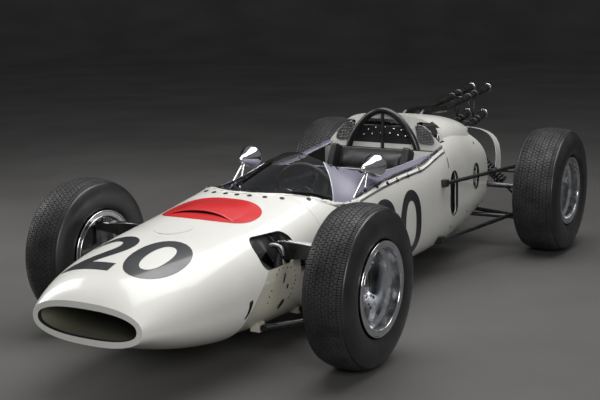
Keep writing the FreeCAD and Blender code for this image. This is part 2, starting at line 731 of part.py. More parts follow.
def intake_trumpets():
    pieces = []
    for side in (-1, 1):
        for index in range(6):
            x = (index - 2.5) * TRUMPET_PITCH
            base = V(x, 0, BANK_HEIGHT + SEAT_GAP)
            horn = Part.makeCone(18, 25, TRUMPET_LENGTH, base, V(0, 0, 1))
            horn = horn.cut(Part.makeCone(15, 22, TRUMPET_LENGTH, base, V(0, 0, 1)))
            horn.Placement = bank_placement(side)
            pieces.append(horn)
    return Part.makeCompound(pieces)


def gearbox():
    case = box(-GEARBOX_HALF, GEARBOX_HALF, seam(470) + SEAT_GAP, REAR_AXLE_Y + 190, 200, 470)
    case = case.makeFillet(34, edges_along(case, V(0, 1, 0)))
    boss = bar_across(62, -160, 320, REAR_AXLE_Y, REAR_TYRE_RADIUS)
    lug = box(-28, 28, REAR_AXLE_Y + 180, REAR_AXLE_Y + 256, 253, 267)
    lug = lug.cut(Part.makeCylinder(TOW_EYE_RADIUS, 40, V(0, REAR_AXLE_Y + 232, 240), V(0, 0, 1)))
    beam = box(-DAMPER_BEAM_HALF, DAMPER_BEAM_HALF, REAR_AXLE_Y + 78, REAR_AXLE_Y + 102, 452, 500)
    case = case.fuse(boss).fuse(lug).fuse(beam)
    for side in (-1, 1):
        y = REAR_AXLE_Y + side * REAR_ARM_BASE
        case = case.fuse(box(-CRADLE_HALF, CRADLE_HALF, y - 20, y + 20, CRADLE_Z - 20, 230))
    return case.removeSplitter()


def megaphone(start, end):
    """Thin-walled cone that ends in a short parallel cuff."""
    axis = end.sub(start)
    cone_length = axis.Length - MEGAPHONE_CUFF
    direction = V(axis).normalize()
    cuff_start = start.add(V(direction).multiply(cone_length))
    outside = Part.makeCone(PIPE_RADIUS, MEGAPHONE_RADIUS, cone_length, start, direction)
    outside = outside.fuse(Part.makeCylinder(MEGAPHONE_RADIUS, MEGAPHONE_CUFF, cuff_start, direction))
    narrow = PIPE_RADIUS - PIPE_WALL
    wide = MEGAPHONE_RADIUS - PIPE_WALL
    inside = Part.makeCone(narrow, wide, cone_length, start, direction)
    inside = inside.fuse(Part.makeCylinder(wide, MEGAPHONE_CUFF + 1, cuff_start, direction))
    return outside.cut(inside)


def exhaust(route, start, end):
    """Header pipe that runs straight into its megaphone."""
    direction = end.sub(start).normalize()
    lead = start.sub(V(direction).multiply(PIPE_LEAD))
    pipe = bent_pipe(route + [lead, start], PIPE_RADIUS, PIPE_WALL, PIPE_BEND)
    return megaphone(start, end).fuse(pipe).removeSplitter()


def exhausts():
    pieces = []
    for x in (-EXHAUST_HALF_SPACING, EXHAUST_HALF_SPACING):
        upper_route = [V(x, seam(330), 508), V(x, seam(330), 776)]
        pieces.append(exhaust(upper_route, V(x, ahead(2410), 774), V(x, TAIL_Y, 832)))
        spread = math.copysign(LOWER_PORT_SPREAD, x)
        lower_route = [V(spread, seam(487), 500), V(spread, seam(570), 500)]
        pieces.append(exhaust(lower_route, V(x, ahead(2610), 615), V(x, ahead(2910), 677)))
    return Part.makeCompound(pieces)


def wheel_centre(front):
    if front:
        return V(FRONT_TRACK / 2, FRONT_AXLE_Y, FRONT_TYRE_RADIUS)
    return V(REAR_TRACK / 2, REAR_AXLE_Y, REAR_TYRE_RADIUS)


def revolve_about_axle(points, centre):
    """Turn an outline of (offset outboard, radius) pairs about the axle."""
    outline = [V(centre.x + offset, centre.y, centre.z + radius) for offset, radius in points]
    outline.append(outline[0])
    face = Part.Face(Part.makePolygon(outline))
    return face.revolve(centre, V(1, 0, 0), 360)


def tyre(front):
    centre = wheel_centre(front)
    radius = FRONT_TYRE_RADIUS if front else REAR_TYRE_RADIUS
    half = (FRONT_TYRE_WIDTH if front else REAR_TYRE_WIDTH) / 2
    rim_half = (FRONT_RIM_WIDTH if front else REAR_RIM_WIDTH) / 2
    bead = rim_half - RIM_WALL - SEAT_GAP
    seat_radius = BEAD_RADIUS + SEAT_GAP
    middle = (radius + seat_radius) / 2
    flange_top = BEAD_RADIUS + RIM_FLANGE_RISE
    right = [
        (0, radius), (half * 0.52, radius - 4), (half * 0.78, radius - 14), (half * 0.93, radius - 38),
        (half, middle + 6), (half * 0.97, flange_top + 22), (bead, flange_top + 6), (bead, seat_radius),
        (bead - 16, seat_radius), (bead - 12, flange_top), (half - TYRE_WALL, middle),
        (half * 0.8 - TYRE_WALL, radius - 32), (half * 0.5, radius - 22), (0, radius - 18)]
    left = [(-offset, r) for offset, r in reversed(right[1:-1])]
    return revolve_about_axle(right + left, centre)


def rim(front):
    centre = wheel_centre(front)
    half = (FRONT_RIM_WIDTH if front else REAR_RIM_WIDTH) / 2
    flange = BEAD_RADIUS + RIM_FLANGE_RISE
    drop = BEAD_RADIUS - RIM_DROP
    outer = [(half - RIM_WALL, flange), (half - RIM_WALL, BEAD_RADIUS), (half - 40, BEAD_RADIUS - 2),
             (half - 52, drop), (-half + 52, drop), (-half + 40, BEAD_RADIUS - 2),
             (-half + RIM_WALL, BEAD_RADIUS), (-half + RIM_WALL, flange)]
    inner = [(-half, flange), (-half, BEAD_RADIUS - RIM_WALL), (-half + 38, BEAD_RADIUS - RIM_WALL - 2),
             (-half + 50, drop - RIM_WALL), (half - 50, drop - RIM_WALL),
             (half - 38, BEAD_RADIUS - RIM_WALL - 2), (half, BEAD_RADIUS - RIM_WALL), (half, flange)]
    barrel = revolve_about_axle(outer + inner, centre)
    spoke_offset = -DISC_INSET + DISC_THICKNESS / 2 + 14
    reach = drop - RIM_WALL / 2
    hub = Part.makeCylinder(HUB_RADIUS, SPOKE_THICKNESS + 12,
                            V(centre.x + spoke_offset, centre.y, centre.z), V(1, 0, 0))
    wheel = barrel.fuse(hub)
    for index in range(SPOKE_COUNT):
        side = [(SPOKE_WIDTH / 2, 0), (SPOKE_WIDTH / 2, HUB_RADIUS), (SPOKE_WAIST / 2, SPOKE_HOLE_PLACE),
                (SPOKE_WIDTH * 0.44, reach)]
        side += [(-across, up) for across, up in reversed(side)]
        outline = [V(centre.x + spoke_offset, centre.y + across, centre.z + up) for across, up in side]
        outline.append(outline[0])
        spoke = Part.Face(Part.makePolygon(outline)).extrude(V(SPOKE_THICKNESS, 0, 0))
        spoke = spoke.cut(bar_across(SPOKE_HOLE / 2, centre.x - 60, 60, centre.y, centre.z + SPOKE_HOLE_PLACE))
        spoke.rotate(centre, V(1, 0, 0), 16 + index * 360 / SPOKE_COUNT)
        wheel = wheel.fuse(spoke)
    bore = bar_across(HUB_BORE_RADIUS, centre.x - 100, 200, centre.y, centre.z)
    return wheel.cut(bore)


def hub(front):
    """Axle with its centre nut, disc bell and brake disc, turning with the wheel."""
    centre = wheel_centre(front)
    spoke_offset = -DISC_INSET + DISC_THICKNESS / 2 + 14
    inset = FRONT_KINGPIN_INSET if front else REAR_UPRIGHT_INSET
    disc_x = centre.x - DISC_INSET - DISC_THICKNESS / 2
    disc = bar_across(DISC_RADIUS, disc_x, DISC_THICKNESS, centre.y, centre.z)
    bell_start = centre.x - DISC_INSET
    bell = Part.makeCylinder(BELL_RADIUS, centre.x + spoke_offset - SEAT_GAP - bell_start,
                             V(bell_start, centre.y, centre.z), V(1, 0, 0))
    axle_start = centre.x - inset - 34
    axle_end = centre.x + spoke_offset + SPOKE_THICKNESS + 12 + HUB_NUT_LENGTH
    axle = bar_across(AXLE_RADIUS, axle_start, axle_end - axle_start, centre.y, centre.z)
    nut = Part.makeCylinder(HUB_NUT_RADIUS, HUB_NUT_LENGTH,
                            V(centre.x + spoke_offset + SPOKE_THICKNESS + 12 + SEAT_GAP, centre.y, centre.z),
                            V(1, 0, 0))
    return disc.fuse(bell).fuse(axle).fuse(nut).removeSplitter()


def kingpin_point(height):
    centre = wheel_centre(True)
    return V(centre.x - FRONT_KINGPIN_INSET, centre.y, height)


def knuckle():
    """Front upright on the left side with its steering arm and brake caliper."""
    centre = wheel_centre(True)
    upper = kingpin_point(centre.z + UPPER_JOINT_RISE)
    lower = kingpin_point(centre.z - LOWER_JOINT_DROP)
    x = lower.x
    reach = BALL_JOINT_RADIUS + SEAT_GAP
    post = box(x - 14, x + 14, centre.y - 17, centre.y + 17, lower.z + reach, upper.z - reach)
    barrel = bar_across(38, x - 26, 52, centre.y, centre.z)
    arm = box(x - 10, x + 10, centre.y, centre.y + STEER_ARM_LENGTH + 14,
              centre.z - STEER_ARM_DROP - 16, centre.z - STEER_ARM_DROP)
    body = post.fuse(barrel).fuse(arm)
    disc_inner = centre.x - DISC_INSET - DISC_THICKNESS / 2
    disc_outer = disc_inner + DISC_THICKNESS
    caliper = box(x - 6, disc_outer + PAD_GAP + CALIPER_PLATE, centre.y - CALIPER_REACH, centre.y - 70,
                  centre.z - CALIPER_HALF_HEIGHT, centre.z + CALIPER_HALF_HEIGHT)
    slot = box(disc_inner - PAD_GAP, disc_outer + PAD_GAP, centre.y - DISC_RADIUS - 4, centre.y,
               centre.z - 60, centre.z + 60)
    bridge = box(x - 8, x + 8, centre.y - 80, centre.y - 10, centre.z - 18, centre.z + 18)
    body = body.fuse(bridge).fuse(caliper.cut(slot))
    bore = bar_across(AXLE_RADIUS + BEARING_CLEARANCE, centre.x - 170, 200, centre.y, centre.z)
    return body.cut(bore)


def rear_uprights():
    centre = wheel_centre(False)
    x = centre.x - REAR_UPRIGHT_INSET
    face = centre.x - REAR_RIM_WIDTH / 2 - 7
    foot = REAR_LOWER_JOINT_Z + REAR_BALL_RADIUS + SEAT_GAP
    post = box(face - 30, face, centre.y - 26, centre.y + 26, foot, 480)
    barrel = bar_across(46, face - 30, x + 26 - face + 30, centre.y, centre.z)
    body = post.fuse(barrel)
    bore = bar_across(AXLE_RADIUS + BEARING_CLEARANCE, centre.x - 250, 300, centre.y, centre.z)
    return both_sides(body.cut(bore))


def half_shaft():
    centre = wheel_centre(False)
    start = V(162, centre.y, centre.z)
    end = V(centre.x - REAR_UPRIGHT_INSET - 50, centre.y, centre.z)
    shaft = rod(start, end, HALF_SHAFT_RADIUS)
    flange = Part.makeCylinder(44, 14, start, V(1, 0, 0))
    outer = bar_across(36, end.x - 40, 40, end.y, end.z)
    stub = Part.makeCylinder(AXLE_RADIUS - 4, 16.0 - SEAT_GAP, end, V(1, 0, 0))
    return shaft.fuse(flange).fuse(outer).fuse(stub).removeSplitter()


def front_rockers():
    centre = wheel_centre(True)
    tip = kingpin_point(centre.z + UPPER_JOINT_RISE)
    y = centre.y
    tip_foot = tip.z - BALL_JOINT_RADIUS
    points = [V(tip.x + 14, y, tip.z + ROCKER_TIP_DEPTH / 2), V(tip.x + 14, y, tip_foot),
              V(tip.x - 20, y, tip_foot), V(ROCKER_PIVOT_X, y, ROCKER_PIVOT_Z - ROCKER_ROOT_DEPTH / 2),
              V(170, y, ROCKER_PIVOT_Z - 10), V(170, y, ROCKER_PIVOT_Z + 30),
              V(ROCKER_PIVOT_X, y, ROCKER_PIVOT_Z + ROCKER_ROOT_DEPTH / 2)]
    points.append(points[0])
    face = Part.Face(Part.makePolygon(points))
    face.translate(V(0, -ROCKER_THICKNESS / 2, 0))
    arm = face.extrude(V(0, ROCKER_THICKNESS, 0))
    return both_sides(arm)


def front_lower_arms():
    centre = wheel_centre(True)
    outer = kingpin_point(centre.z - LOWER_JOINT_DROP)
    arm = rod_end(outer, BALL_JOINT_RADIUS + 2, BALL_JOINT_RADIUS, V(0, 0, 1))
    for side in (-1, 1):
        inner = V(LOWER_ARM_INNER_X, centre.y + side * LOWER_ARM_BASE, LOWER_ARM_INNER_Z)
        arm = arm.fuse(rod(inner, outer, ARM_TUBE_RADIUS))
        arm = arm.fuse(rod_end(inner, ARM_TUBE_RADIUS + 2, ARM_TUBE_RADIUS + EYE_SHOULDER, V(0, 1, 0)))
    return both_sides(arm.removeSplitter())


def front_dampers():
    y = FRONT_AXLE_Y
    top = V(186, y, ROCKER_PIVOT_Z - 18)
    bottom = V(150, y, 170)
    axis = bottom.sub(top)
    spring = Part.makeCylinder(30, axis.Length * 0.6, top.add(V(axis).multiply(0.15)), axis)
    return both_sides(rod(top, bottom, 10).fuse(spring).removeSplitter())


def rear_lower_arms():
    centre = wheel_centre(False)
    outer = V(centre.x - REAR_RIM_WIDTH / 2 - 22, centre.y, REAR_LOWER_JOINT_Z)
    arm = rod_end(outer, REAR_BALL_RADIUS, REAR_BALL_RADIUS, V(0, 0, 1))
    for side in (-1, 1):
        inner = V(CRADLE_HALF + REAR_BALL_RADIUS + SEAT_GAP, centre.y + side * REAR_ARM_BASE, CRADLE_Z)
        arm = arm.fuse(rod(inner, outer, 12))
        arm = arm.fuse(rod_end(inner, REAR_BALL_RADIUS, 12 + EYE_SHOULDER, V(0, 1, 0)))
    return both_sides(arm.removeSplitter())


def link_bracket(anchor):
    """Black bracket that seats on the flank around a rod's front eye."""
    block = box(anchor.x - 60, anchor.x + 6, anchor.y - 20, anchor.y + 20, anchor.z - 18, anchor.z + 18)
    return largest_solid(block.cut(BODY_CLEAR))


def rear_links():
    centre = wheel_centre(False)
    face = centre.x - REAR_RIM_WIDTH / 2 - 7 - 30
    upper_anchor = V(398, seam(-106), 473)
    upright = V(0, 0, 1)
    upper = rod_with_eyes(upper_anchor, V(face - 14 - SEAT_GAP, centre.y - 20, 470), 10, 14, upright)
    lower_anchor = V(384, seam(-120), 180)
    lower = rod_with_eyes(lower_anchor, V(face - 15 - SEAT_GAP, centre.y - 20, 205), 11, 15, upright)
    top_inner = V(GEARBOX_HALF + 13 + SEAT_GAP, centre.y + 30, 415)
    top = rod_with_eyes(top_inner, V(face - 13 - SEAT_GAP, centre.y + 14, 425), 9, 13, V(0, 1, 0))
    upper = upper.fuse(link_bracket(upper_anchor))
    lower = lower.fuse(link_bracket(lower_anchor))
    left = [upper.removeSplitter(), lower.removeSplitter(), top]
    return Part.makeCompound(left + [largest_solid(mirrored(piece).cut(BODY_CLEAR)) for piece in left])


def coil_spring(start, end):
    """Helical spring about a damper between two points."""
    axis = end.sub(start)
    helix = Part.makeHelix(axis.Length / SPRING_TURNS, axis.Length, SPRING_RADIUS)
    wire = Part.Wire([Part.makeCircle(SPRING_WIRE, V(SPRING_RADIUS, 0, 0), V(0, 1, 0))])
    coil = Part.Wire(helix.Edges).makePipeShell([wire], True, True)
    coil.Placement = FreeCAD.Placement(start, FreeCAD.Rotation(V(0, 0, 1), axis))
    return coil


def rear_dampers():
    """Dampers with a coil spring held between two collars."""
    centre = wheel_centre(False)
    top = V(DAMPER_BEAM_HALF + 16 + SEAT_GAP, REAR_AXLE_Y + 90, 486)
    bottom = V(centre.x - REAR_RIM_WIDTH / 2 - 37 - 16 - SEAT_GAP, REAR_AXLE_Y + 12, 245)
    axis = bottom.sub(top)
    damper = rod_with_eyes(top, bottom, 10, 16, V(0, 1, 0))

    def along(distance):
        return top.add(V(axis).normalize().multiply(distance))

    collar_radius = SPRING_RADIUS + SPRING_WIRE + 2
    first, last = DAMPER_SPRING_START, DAMPER_SPRING_START + DAMPER_SPRING_LENGTH
    damper = damper.fuse(rod(along(first), along(last), DAMPER_BODY_RADIUS))
    damper = damper.fuse(rod(along(first - SPRING_COLLAR), along(first), collar_radius))
    damper = damper.fuse(rod(along(last), along(last + SPRING_COLLAR), collar_radius))
    seated = SPRING_WIRE + SEAT_GAP
    spring = coil_spring(along(first + seated), along(last - seated))
    return both_sides(Part.makeCompound([damper.removeSplitter(), spring]))


def rack_housing():
    y = RACK_Y
    tube = bar_across(RACK_HOUSING_RADIUS, -180, 360, y, RACK_HEIGHT)
    room = loft(FRONT_BODY, -SKIN - FRONT_BOX_STEP - FRONT_BOX_WALL - SEAT_GAP)
    foot = box(120, 150, y - 14, y + 14, 60, RACK_HEIGHT).common(room)
    tube = tube.fuse(foot).fuse(mirrored(foot)).removeSplitter()
    return tube.cut(bar_across(RACK_RADIUS + BEARING_CLEARANCE, -190, 380, y, RACK_HEIGHT))


def steering_rack():
    centre = wheel_centre(True)
    y = RACK_Y
    bar = bar_across(RACK_RADIUS, -RACK_HALF_LENGTH, 2 * RACK_HALF_LENGTH, y, RACK_HEIGHT)
    eye_height = centre.z - STEER_ARM_DROP + SEAT_GAP
    tip = V(centre.x - FRONT_KINGPIN_INSET, y, eye_height + 10)
    eye = Part.makeCylinder(13, 20, V(tip.x, tip.y, eye_height), V(0, 0, 1))
    left = rod(V(RACK_HALF_LENGTH, y, RACK_HEIGHT), tip, TIE_ROD_RADIUS).fuse(eye)
    left = left.cut(box(400, 700, y - 60, y + 60, 200, eye_height))
    left = left.fuse(rod_end(V(RACK_HALF_LENGTH, y, RACK_HEIGHT), 17, 18, V(1, 0, 0)))
    return bar.fuse(left).fuse(mirrored(left)).removeSplitter()


def steering_column():
    return rod(COLUMN_FOOT, COLUMN_TOP, COLUMN_RADIUS)


def steering_wheel():
    axis = COLUMN_AXIS
    rim_ring = Part.makeTorus(150, 12, COLUMN_TOP, axis)
    hub_boss = Part.makeCylinder(34, 14, COLUMN_TOP.add(V(axis).multiply(SEAT_GAP)), axis)
    wheel = rim_ring.fuse(hub_boss)
    for index in range(3):
        spoke = box(-14, 14, 0, 146, -2, 2)
        spoke.translate(V(0, 0, 7))
        spoke.rotate(V(0, 0, 0), V(0, 0, 1), 90 + index * 120)
        tilt = FreeCAD.Rotation(V(0, 0, 1), axis)
        spoke.Placement = FreeCAD.Placement(COLUMN_TOP, tilt).multiply(spoke.Placement)
        wheel = wheel.fuse(spoke)
    return wheel


def build():
    os.makedirs("parts", exist_ok=True)
    nodes = {
        "nose_cowl": nose_cowl(),
        "nose_duct": nose_duct(),
        "radiator": radiator(),
        "front_bulkhead": front_bulkhead(),
        "monocoque_tub": monocoque_tub(),
        "windscreen": windscreen(),
        "engine_cover": engine_cover(),
        "cover_grilles": cover_grilles(),
        "roll_hoop": roll_hoop(),
        "seat": seat(),
        "seat_cushions": seat_cushions(),
        "dash_panel": dash_panel(),
        "mirrors": mirrors(),
        "engine_block": engine_block(),
        "intake_trumpets": intake_trumpets(),
        "gearbox": gearbox(),
        "exhausts": exhausts(),
        "front_rockers": front_rockers(),
        "front_lower_arms": front_lower_arms(),
        "front_dampers": front_dampers(),
        "rear_uprights": rear_uprights(),
        "rear_lower_arms": rear_lower_arms(),
        "rear_links": rear_links(),
        "rear_dampers": rear_dampers(),
        "rack_housing": rack_housing(),
        "steering_rack": steering_rack(),
        "steering_column": steering_column(),
        "steering_wheel": steering_wheel(),
        "knuckle_left": knuckle(),
        "knuckle_right": mirrored(knuckle()),
        "half_shaft_left": half_shaft(),
        "half_shaft_right": mirrored(half_shaft()),
    }
    for front, place in ((True, "front"), (False, "rear")):
        for name, shape in (("tyre", tyre(front)), ("rim", rim(front)), ("hub", hub(front))):
            nodes["%s_%s_left" % (name, place)] = shape
            nodes["%s_%s_right" % (name, place)] = mirrored(shape)
    for name, shape in nodes.items():
        shape.exportStep("parts/%s.step" % name)
        print(name, shape.isValid(), len(shape.Solids), round(shape.Volume / 1e6, 3))


build()
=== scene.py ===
import json
import math

import bmesh
import bpy
import numpy as np
from mathutils import Matrix, Vector
from mathutils.bvhtree import BVHTree
from mathutils.interpolate import poly_3d_calc


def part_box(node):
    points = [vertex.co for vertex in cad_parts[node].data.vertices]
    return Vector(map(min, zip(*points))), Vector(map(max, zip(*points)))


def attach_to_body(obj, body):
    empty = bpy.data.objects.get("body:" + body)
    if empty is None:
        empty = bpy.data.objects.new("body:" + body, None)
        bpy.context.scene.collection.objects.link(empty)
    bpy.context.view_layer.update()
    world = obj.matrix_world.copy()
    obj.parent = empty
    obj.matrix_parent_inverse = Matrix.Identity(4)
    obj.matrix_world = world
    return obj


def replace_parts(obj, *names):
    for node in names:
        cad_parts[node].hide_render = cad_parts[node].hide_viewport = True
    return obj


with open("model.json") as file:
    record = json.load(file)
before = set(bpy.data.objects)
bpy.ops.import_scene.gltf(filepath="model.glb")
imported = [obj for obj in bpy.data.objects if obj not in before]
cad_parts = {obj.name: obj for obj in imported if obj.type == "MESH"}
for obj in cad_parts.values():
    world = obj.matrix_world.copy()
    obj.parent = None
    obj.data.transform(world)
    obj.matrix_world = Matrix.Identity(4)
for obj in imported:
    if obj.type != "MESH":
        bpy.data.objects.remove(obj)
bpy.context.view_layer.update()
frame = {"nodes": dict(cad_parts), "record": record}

# Open wheel racing car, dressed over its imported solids. Metres, +Z up, nose along -Y.

NODES = frame["nodes"]


def node_middle(node):
    """Middle of a node's box."""
    low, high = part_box(node)
    return (low + high) / 2


FRONT_AXLE = node_middle("tyre_front_left")


def ahead(distance):
    """Y of a place that lies a distance behind the front axle."""
    return FRONT_AXLE.y + distance


SIDES = ((1, "left"), (-1, "right"))
CORNERS = ("front_left", "front_right", "rear_left", "rear_right")
RAY_TOP = 1.2
RAY_ASIDE = 0.8
PAINT_LIFT = 0.0008
SQUARE = ((-1, -1), (1, -1), (1, 1), (-1, 1))


def from_above(back=0.0, side=1):
    """Rays down on the car, for (u, v) measured from a place behind the front axle."""
    return lambda u, v: ((side * u, ahead(back) + v, RAY_TOP), (0, 0, -1))


def from_side(side):
    """Rays into a flank, for (distance behind the front axle, height)."""
    return lambda back, height: ((side * RAY_ASIDE, ahead(back), height), (-side, 0, 0))


# Materials

def new_material(name, roughness, metallic=0.0):
    mat = bpy.data.materials.new(name)
    mat.use_nodes = True
    shader = mat.node_tree.nodes["Principled BSDF"]
    shader.inputs["Roughness"].default_value = roughness
    shader.inputs["Metallic"].default_value = metallic
    return mat


def shader_of(mat):
    return mat.node_tree.nodes["Principled BSDF"]


def object_coordinates(mat):
    tree = mat.node_tree
    node = tree.nodes.get("Object Coordinates")
    if node is None:
        node = tree.nodes.new("ShaderNodeTexCoord")
        node.name = "Object Coordinates"
    return node.outputs["Object"]


def noise(mat, scale, detail=4.0):
    """Noise value over the piece, with features about 1/scale metres wide."""
    tree = mat.node_tree
    node = tree.nodes.new("ShaderNodeTexNoise")
    node.inputs["Scale"].default_value = scale
    node.inputs["Detail"].default_value = detail
    tree.links.new(object_coordinates(mat), node.inputs["Vector"])
    return node.outputs["Fac"]


def ramp(mat, value, stops):
    """Colour from a value, by stops of (place, colour)."""
    tree = mat.node_tree
    node = tree.nodes.new("ShaderNodeValToRGB")
    elements = node.color_ramp.elements
    while len(elements) < len(stops):
        elements.new(0.5)
    for element, (place, colour) in zip(elements, stops):
        element.position = place
        element.color = (*colour, 1)
    tree.links.new(value, node.inputs["Fac"])
    return node.outputs["Color"]


def spread(mat, value, low, high):
    """The value stretched from 0.3..0.7 to low..high."""
    tree = mat.node_tree
    node = tree.nodes.new("ShaderNodeMapRange")
    for name, bound in (("From Min", 0.3), ("From Max", 0.7), ("To Min", low), ("To Max", high)):
        node.inputs[name].default_value = bound
    tree.links.new(value, node.inputs["Value"])
    return node.outputs["Result"]


def mottle(mat, dark, light, scale, detail=4.0):
    colour = ramp(mat, noise(mat, scale, detail), [(0.35, dark), (0.65, light)])
    mat.node_tree.links.new(colour, shader_of(mat).inputs["Base Color"])
    return mat


def vary_roughness(mat, low, high, scale):
    value = spread(mat, noise(mat, scale, 3.0), low, high)
    mat.node_tree.links.new(value, shader_of(mat).inputs["Roughness"])
    return mat


def relief(mat, height, distance, strength=1.0):
    """Bump from a height value, of a real depth in metres, stacked on any bump already there."""
    tree = mat.node_tree
    shader = shader_of(mat)
    node = tree.nodes.new("ShaderNodeBump")
    node.inputs["Strength"].default_value = strength
    node.inputs["Distance"].default_value = distance
    tree.links.new(height, node.inputs["Height"])
    if shader.inputs["Normal"].is_linked:
        tree.links.new(shader.inputs["Normal"].links[0].from_socket, node.inputs["Normal"])
    tree.links.new(node.outputs["Normal"], shader.inputs["Normal"])
    return mat


def coat(mat, weight, roughness):
    shader = shader_of(mat)
    shader.inputs["Coat Weight"].default_value = weight
    shader.inputs["Coat Roughness"].default_value = roughness
    return mat


def weathered(mat, dark, light, patches, gloss, bumps):
    """Mottled colour, uneven roughness and a fine relief of (scale, detail, depth, strength)."""
    mottle(mat, dark, light, *patches)
    vary_roughness(mat, *gloss)
    return relief(mat, noise(mat, *bumps[:2]), *bumps[2:])


def gloss_paint(name, dark, light):
    """Sprayed paint with faint colour drift, orange peel and a polished clear layer."""
    mat = coat(new_material(name, 0.34), 0.6, 0.08)
    weathered(mat, dark, light, (3.0, 6.0), (0.28, 0.42, 9.0), (60.0, 1.0, 0.0004, 0.25))
    return relief(mat, noise(mat, 900.0, 1.0), 0.00004, 0.4)


def bare_metal(name, dark, light, low, high):
    return weathered(new_material(name, low, 1.0), dark, light, (25.0, 6.0), (low, high, 40.0),
                     (420.0, 3.0, 0.00008, 0.5))


def cast_metal(name, dark, light):
    """Sand-cast alloy: pitted and dull."""
    return weathered(new_material(name, 0.5, 0.85), dark, light, (14.0, 8.0), (0.42, 0.62, 30.0),
                     (520.0, 5.0, 0.00035, 0.6))


def black_enamel(name):
    return weathered(coat(new_material(name, 0.32), 0.3, 0.15), (0.008, 0.008, 0.009),
                     (0.02, 0.02, 0.022), (18.0,), (0.24, 0.44, 35.0), (300.0, 2.0, 0.0001, 0.4))


def rubber(name, dark, light, low, high):
    return weathered(new_material(name, low), dark, light, (11.0, 8.0), (low, high, 16.0),
                     (700.0, 4.0, 0.00012, 0.5))


def leather(name, dark, light):
    mat = new_material(name, 0.5)
    mottle(mat, dark, light, 20.0, 6.0)
    vary_roughness(mat, 0.4, 0.62, 26.0)
    tree = mat.node_tree
    cells = tree.nodes.new("ShaderNodeTexVoronoi")
    cells.feature = "DISTANCE_TO_EDGE"
    cells.inputs["Scale"].default_value = 420.0
    tree.links.new(object_coordinates(mat), cells.inputs["Vector"])
    return relief(mat, cells.outputs["Distance"], 0.0006, 0.5)


def smoked_clear(name, tint, roughness):
    mat = new_material(name, roughness)
    shader = shader_of(mat)
    shader.inputs["Transmission Weight"].default_value = 1.0
    shader.inputs["IOR"].default_value = 1.49
    mottle(mat, tint, tuple(c * 1.06 for c in tint), 6.0)
    return relief(mat, noise(mat, 14.0, 1.0), 0.0004, 0.15)


WHITE_PAINT = gloss_paint("ivory paint", (0.74, 0.73, 0.68), (0.79, 0.78, 0.735))
RED_PAINT = gloss_paint("red paint", (0.60, 0.020, 0.022), (0.68, 0.028, 0.030))
NUMBER_BLACK = gloss_paint("number black", (0.018, 0.019, 0.021), (0.032, 0.033, 0.036))
DUCT_PAINT = gloss_paint("olive duct paint", (0.17, 0.17, 0.12), (0.23, 0.23, 0.165))
TUB_PAINT = gloss_paint("beige tub paint", (0.50, 0.47, 0.39), (0.58, 0.55, 0.46))
BLACK_TUBE = black_enamel("black enamel tube")
DARK_STEEL = bare_metal("dark steel", (0.10, 0.10, 0.105), (0.2, 0.2, 0.205), 0.3, 0.5)
POLISHED = bare_metal("polished metal", (0.72, 0.72, 0.73), (0.84, 0.84, 0.85), 0.07, 0.2)
CAST_ENGINE = cast_metal("cast engine alloy", (0.30, 0.29, 0.27), (0.46, 0.45, 0.43))
CAST_GEARBOX = cast_metal("cast gearbox alloy", (0.20, 0.20, 0.195), (0.34, 0.34, 0.33))
RIM_ALLOY = cast_metal("silver wheel alloy", (0.50, 0.52, 0.55), (0.68, 0.70, 0.73))
EXHAUST = bare_metal("heat-blackened exhaust", (0.05, 0.048, 0.047), (0.12, 0.112, 0.105),
                     0.22, 0.42)
TYRE_TREAD = rubber("tread rubber", (0.012, 0.012, 0.0125), (0.028, 0.028, 0.03), 0.45, 0.7)
TYRE_WALL = rubber("sidewall rubber", (0.010, 0.010, 0.011), (0.02, 0.02, 0.022), 0.3, 0.5)
coat(TYRE_WALL, 0.25, 0.25)
SEAT_LEATHER = leather("black seat leather", (0.012, 0.012, 0.013), (0.03, 0.03, 0.032))
WHEEL_LEATHER = leather("dark wheel leather", (0.02, 0.016, 0.014), (0.045, 0.036, 0.03))
DASH_BLACK = rubber("dash black crackle", (0.012, 0.012, 0.013), (0.022, 0.022, 0.024), 0.5, 0.7)
CORE_BLACK = rubber("radiator black", (0.014, 0.014, 0.014), (0.035, 0.034, 0.03), 0.55, 0.75)
SCREEN = smoked_clear("smoked screen", (0.78, 0.78, 0.81), 0.015)
# Tinted perspex, made mostly opaque so that its lilac grey also serves as a painted reflection of
# the studio.
SIDE_SCREEN_WITH_REFLECTION = smoked_clear("lilac grey side screen and painted reflection", (0.25, 0.24, 0.31), 0.28)
shader_of(SIDE_SCREEN_WITH_REFLECTION).inputs["Transmission Weight"].default_value = 0.25
# Black of the cockpit's inside. The same black is also laid as a dark film of painted shade in
# openings, holes and recesses.
COCKPIT_BLACK_AND_PAINTED_SHADE = rubber("cockpit black paint and painted shade", (0.010, 0.010, 0.011), (0.02, 0.02, 0.021), 0.45, 0.7)
BARREL = bare_metal("polished wheel barrel", (0.62, 0.63, 0.65), (0.78, 0.79, 0.80), 0.12, 0.28)
MIRROR_GLASS = bare_metal("mirror glass", (0.80, 0.81, 0.82), (0.86, 0.87, 0.88), 0.02, 0.05)
BRASS = bare_metal("brass fitting", (0.45, 0.31, 0.12), (0.62, 0.45, 0.2), 0.25, 0.45)
DIAL_FACE = rubber("dial face", (0.010, 0.010, 0.012), (0.02, 0.02, 0.022), 0.35, 0.5)
DIAL_WHITE = rubber("dial marking white", (0.72, 0.72, 0.70), (0.82, 0.82, 0.80), 0.4, 0.5)
HOSE = rubber("hose rubber", (0.012, 0.012, 0.012), (0.03, 0.03, 0.03), 0.4, 0.6)
WIRE = bare_metal("zinc wire", (0.35, 0.35, 0.34), (0.55, 0.55, 0.54), 0.3, 0.5)

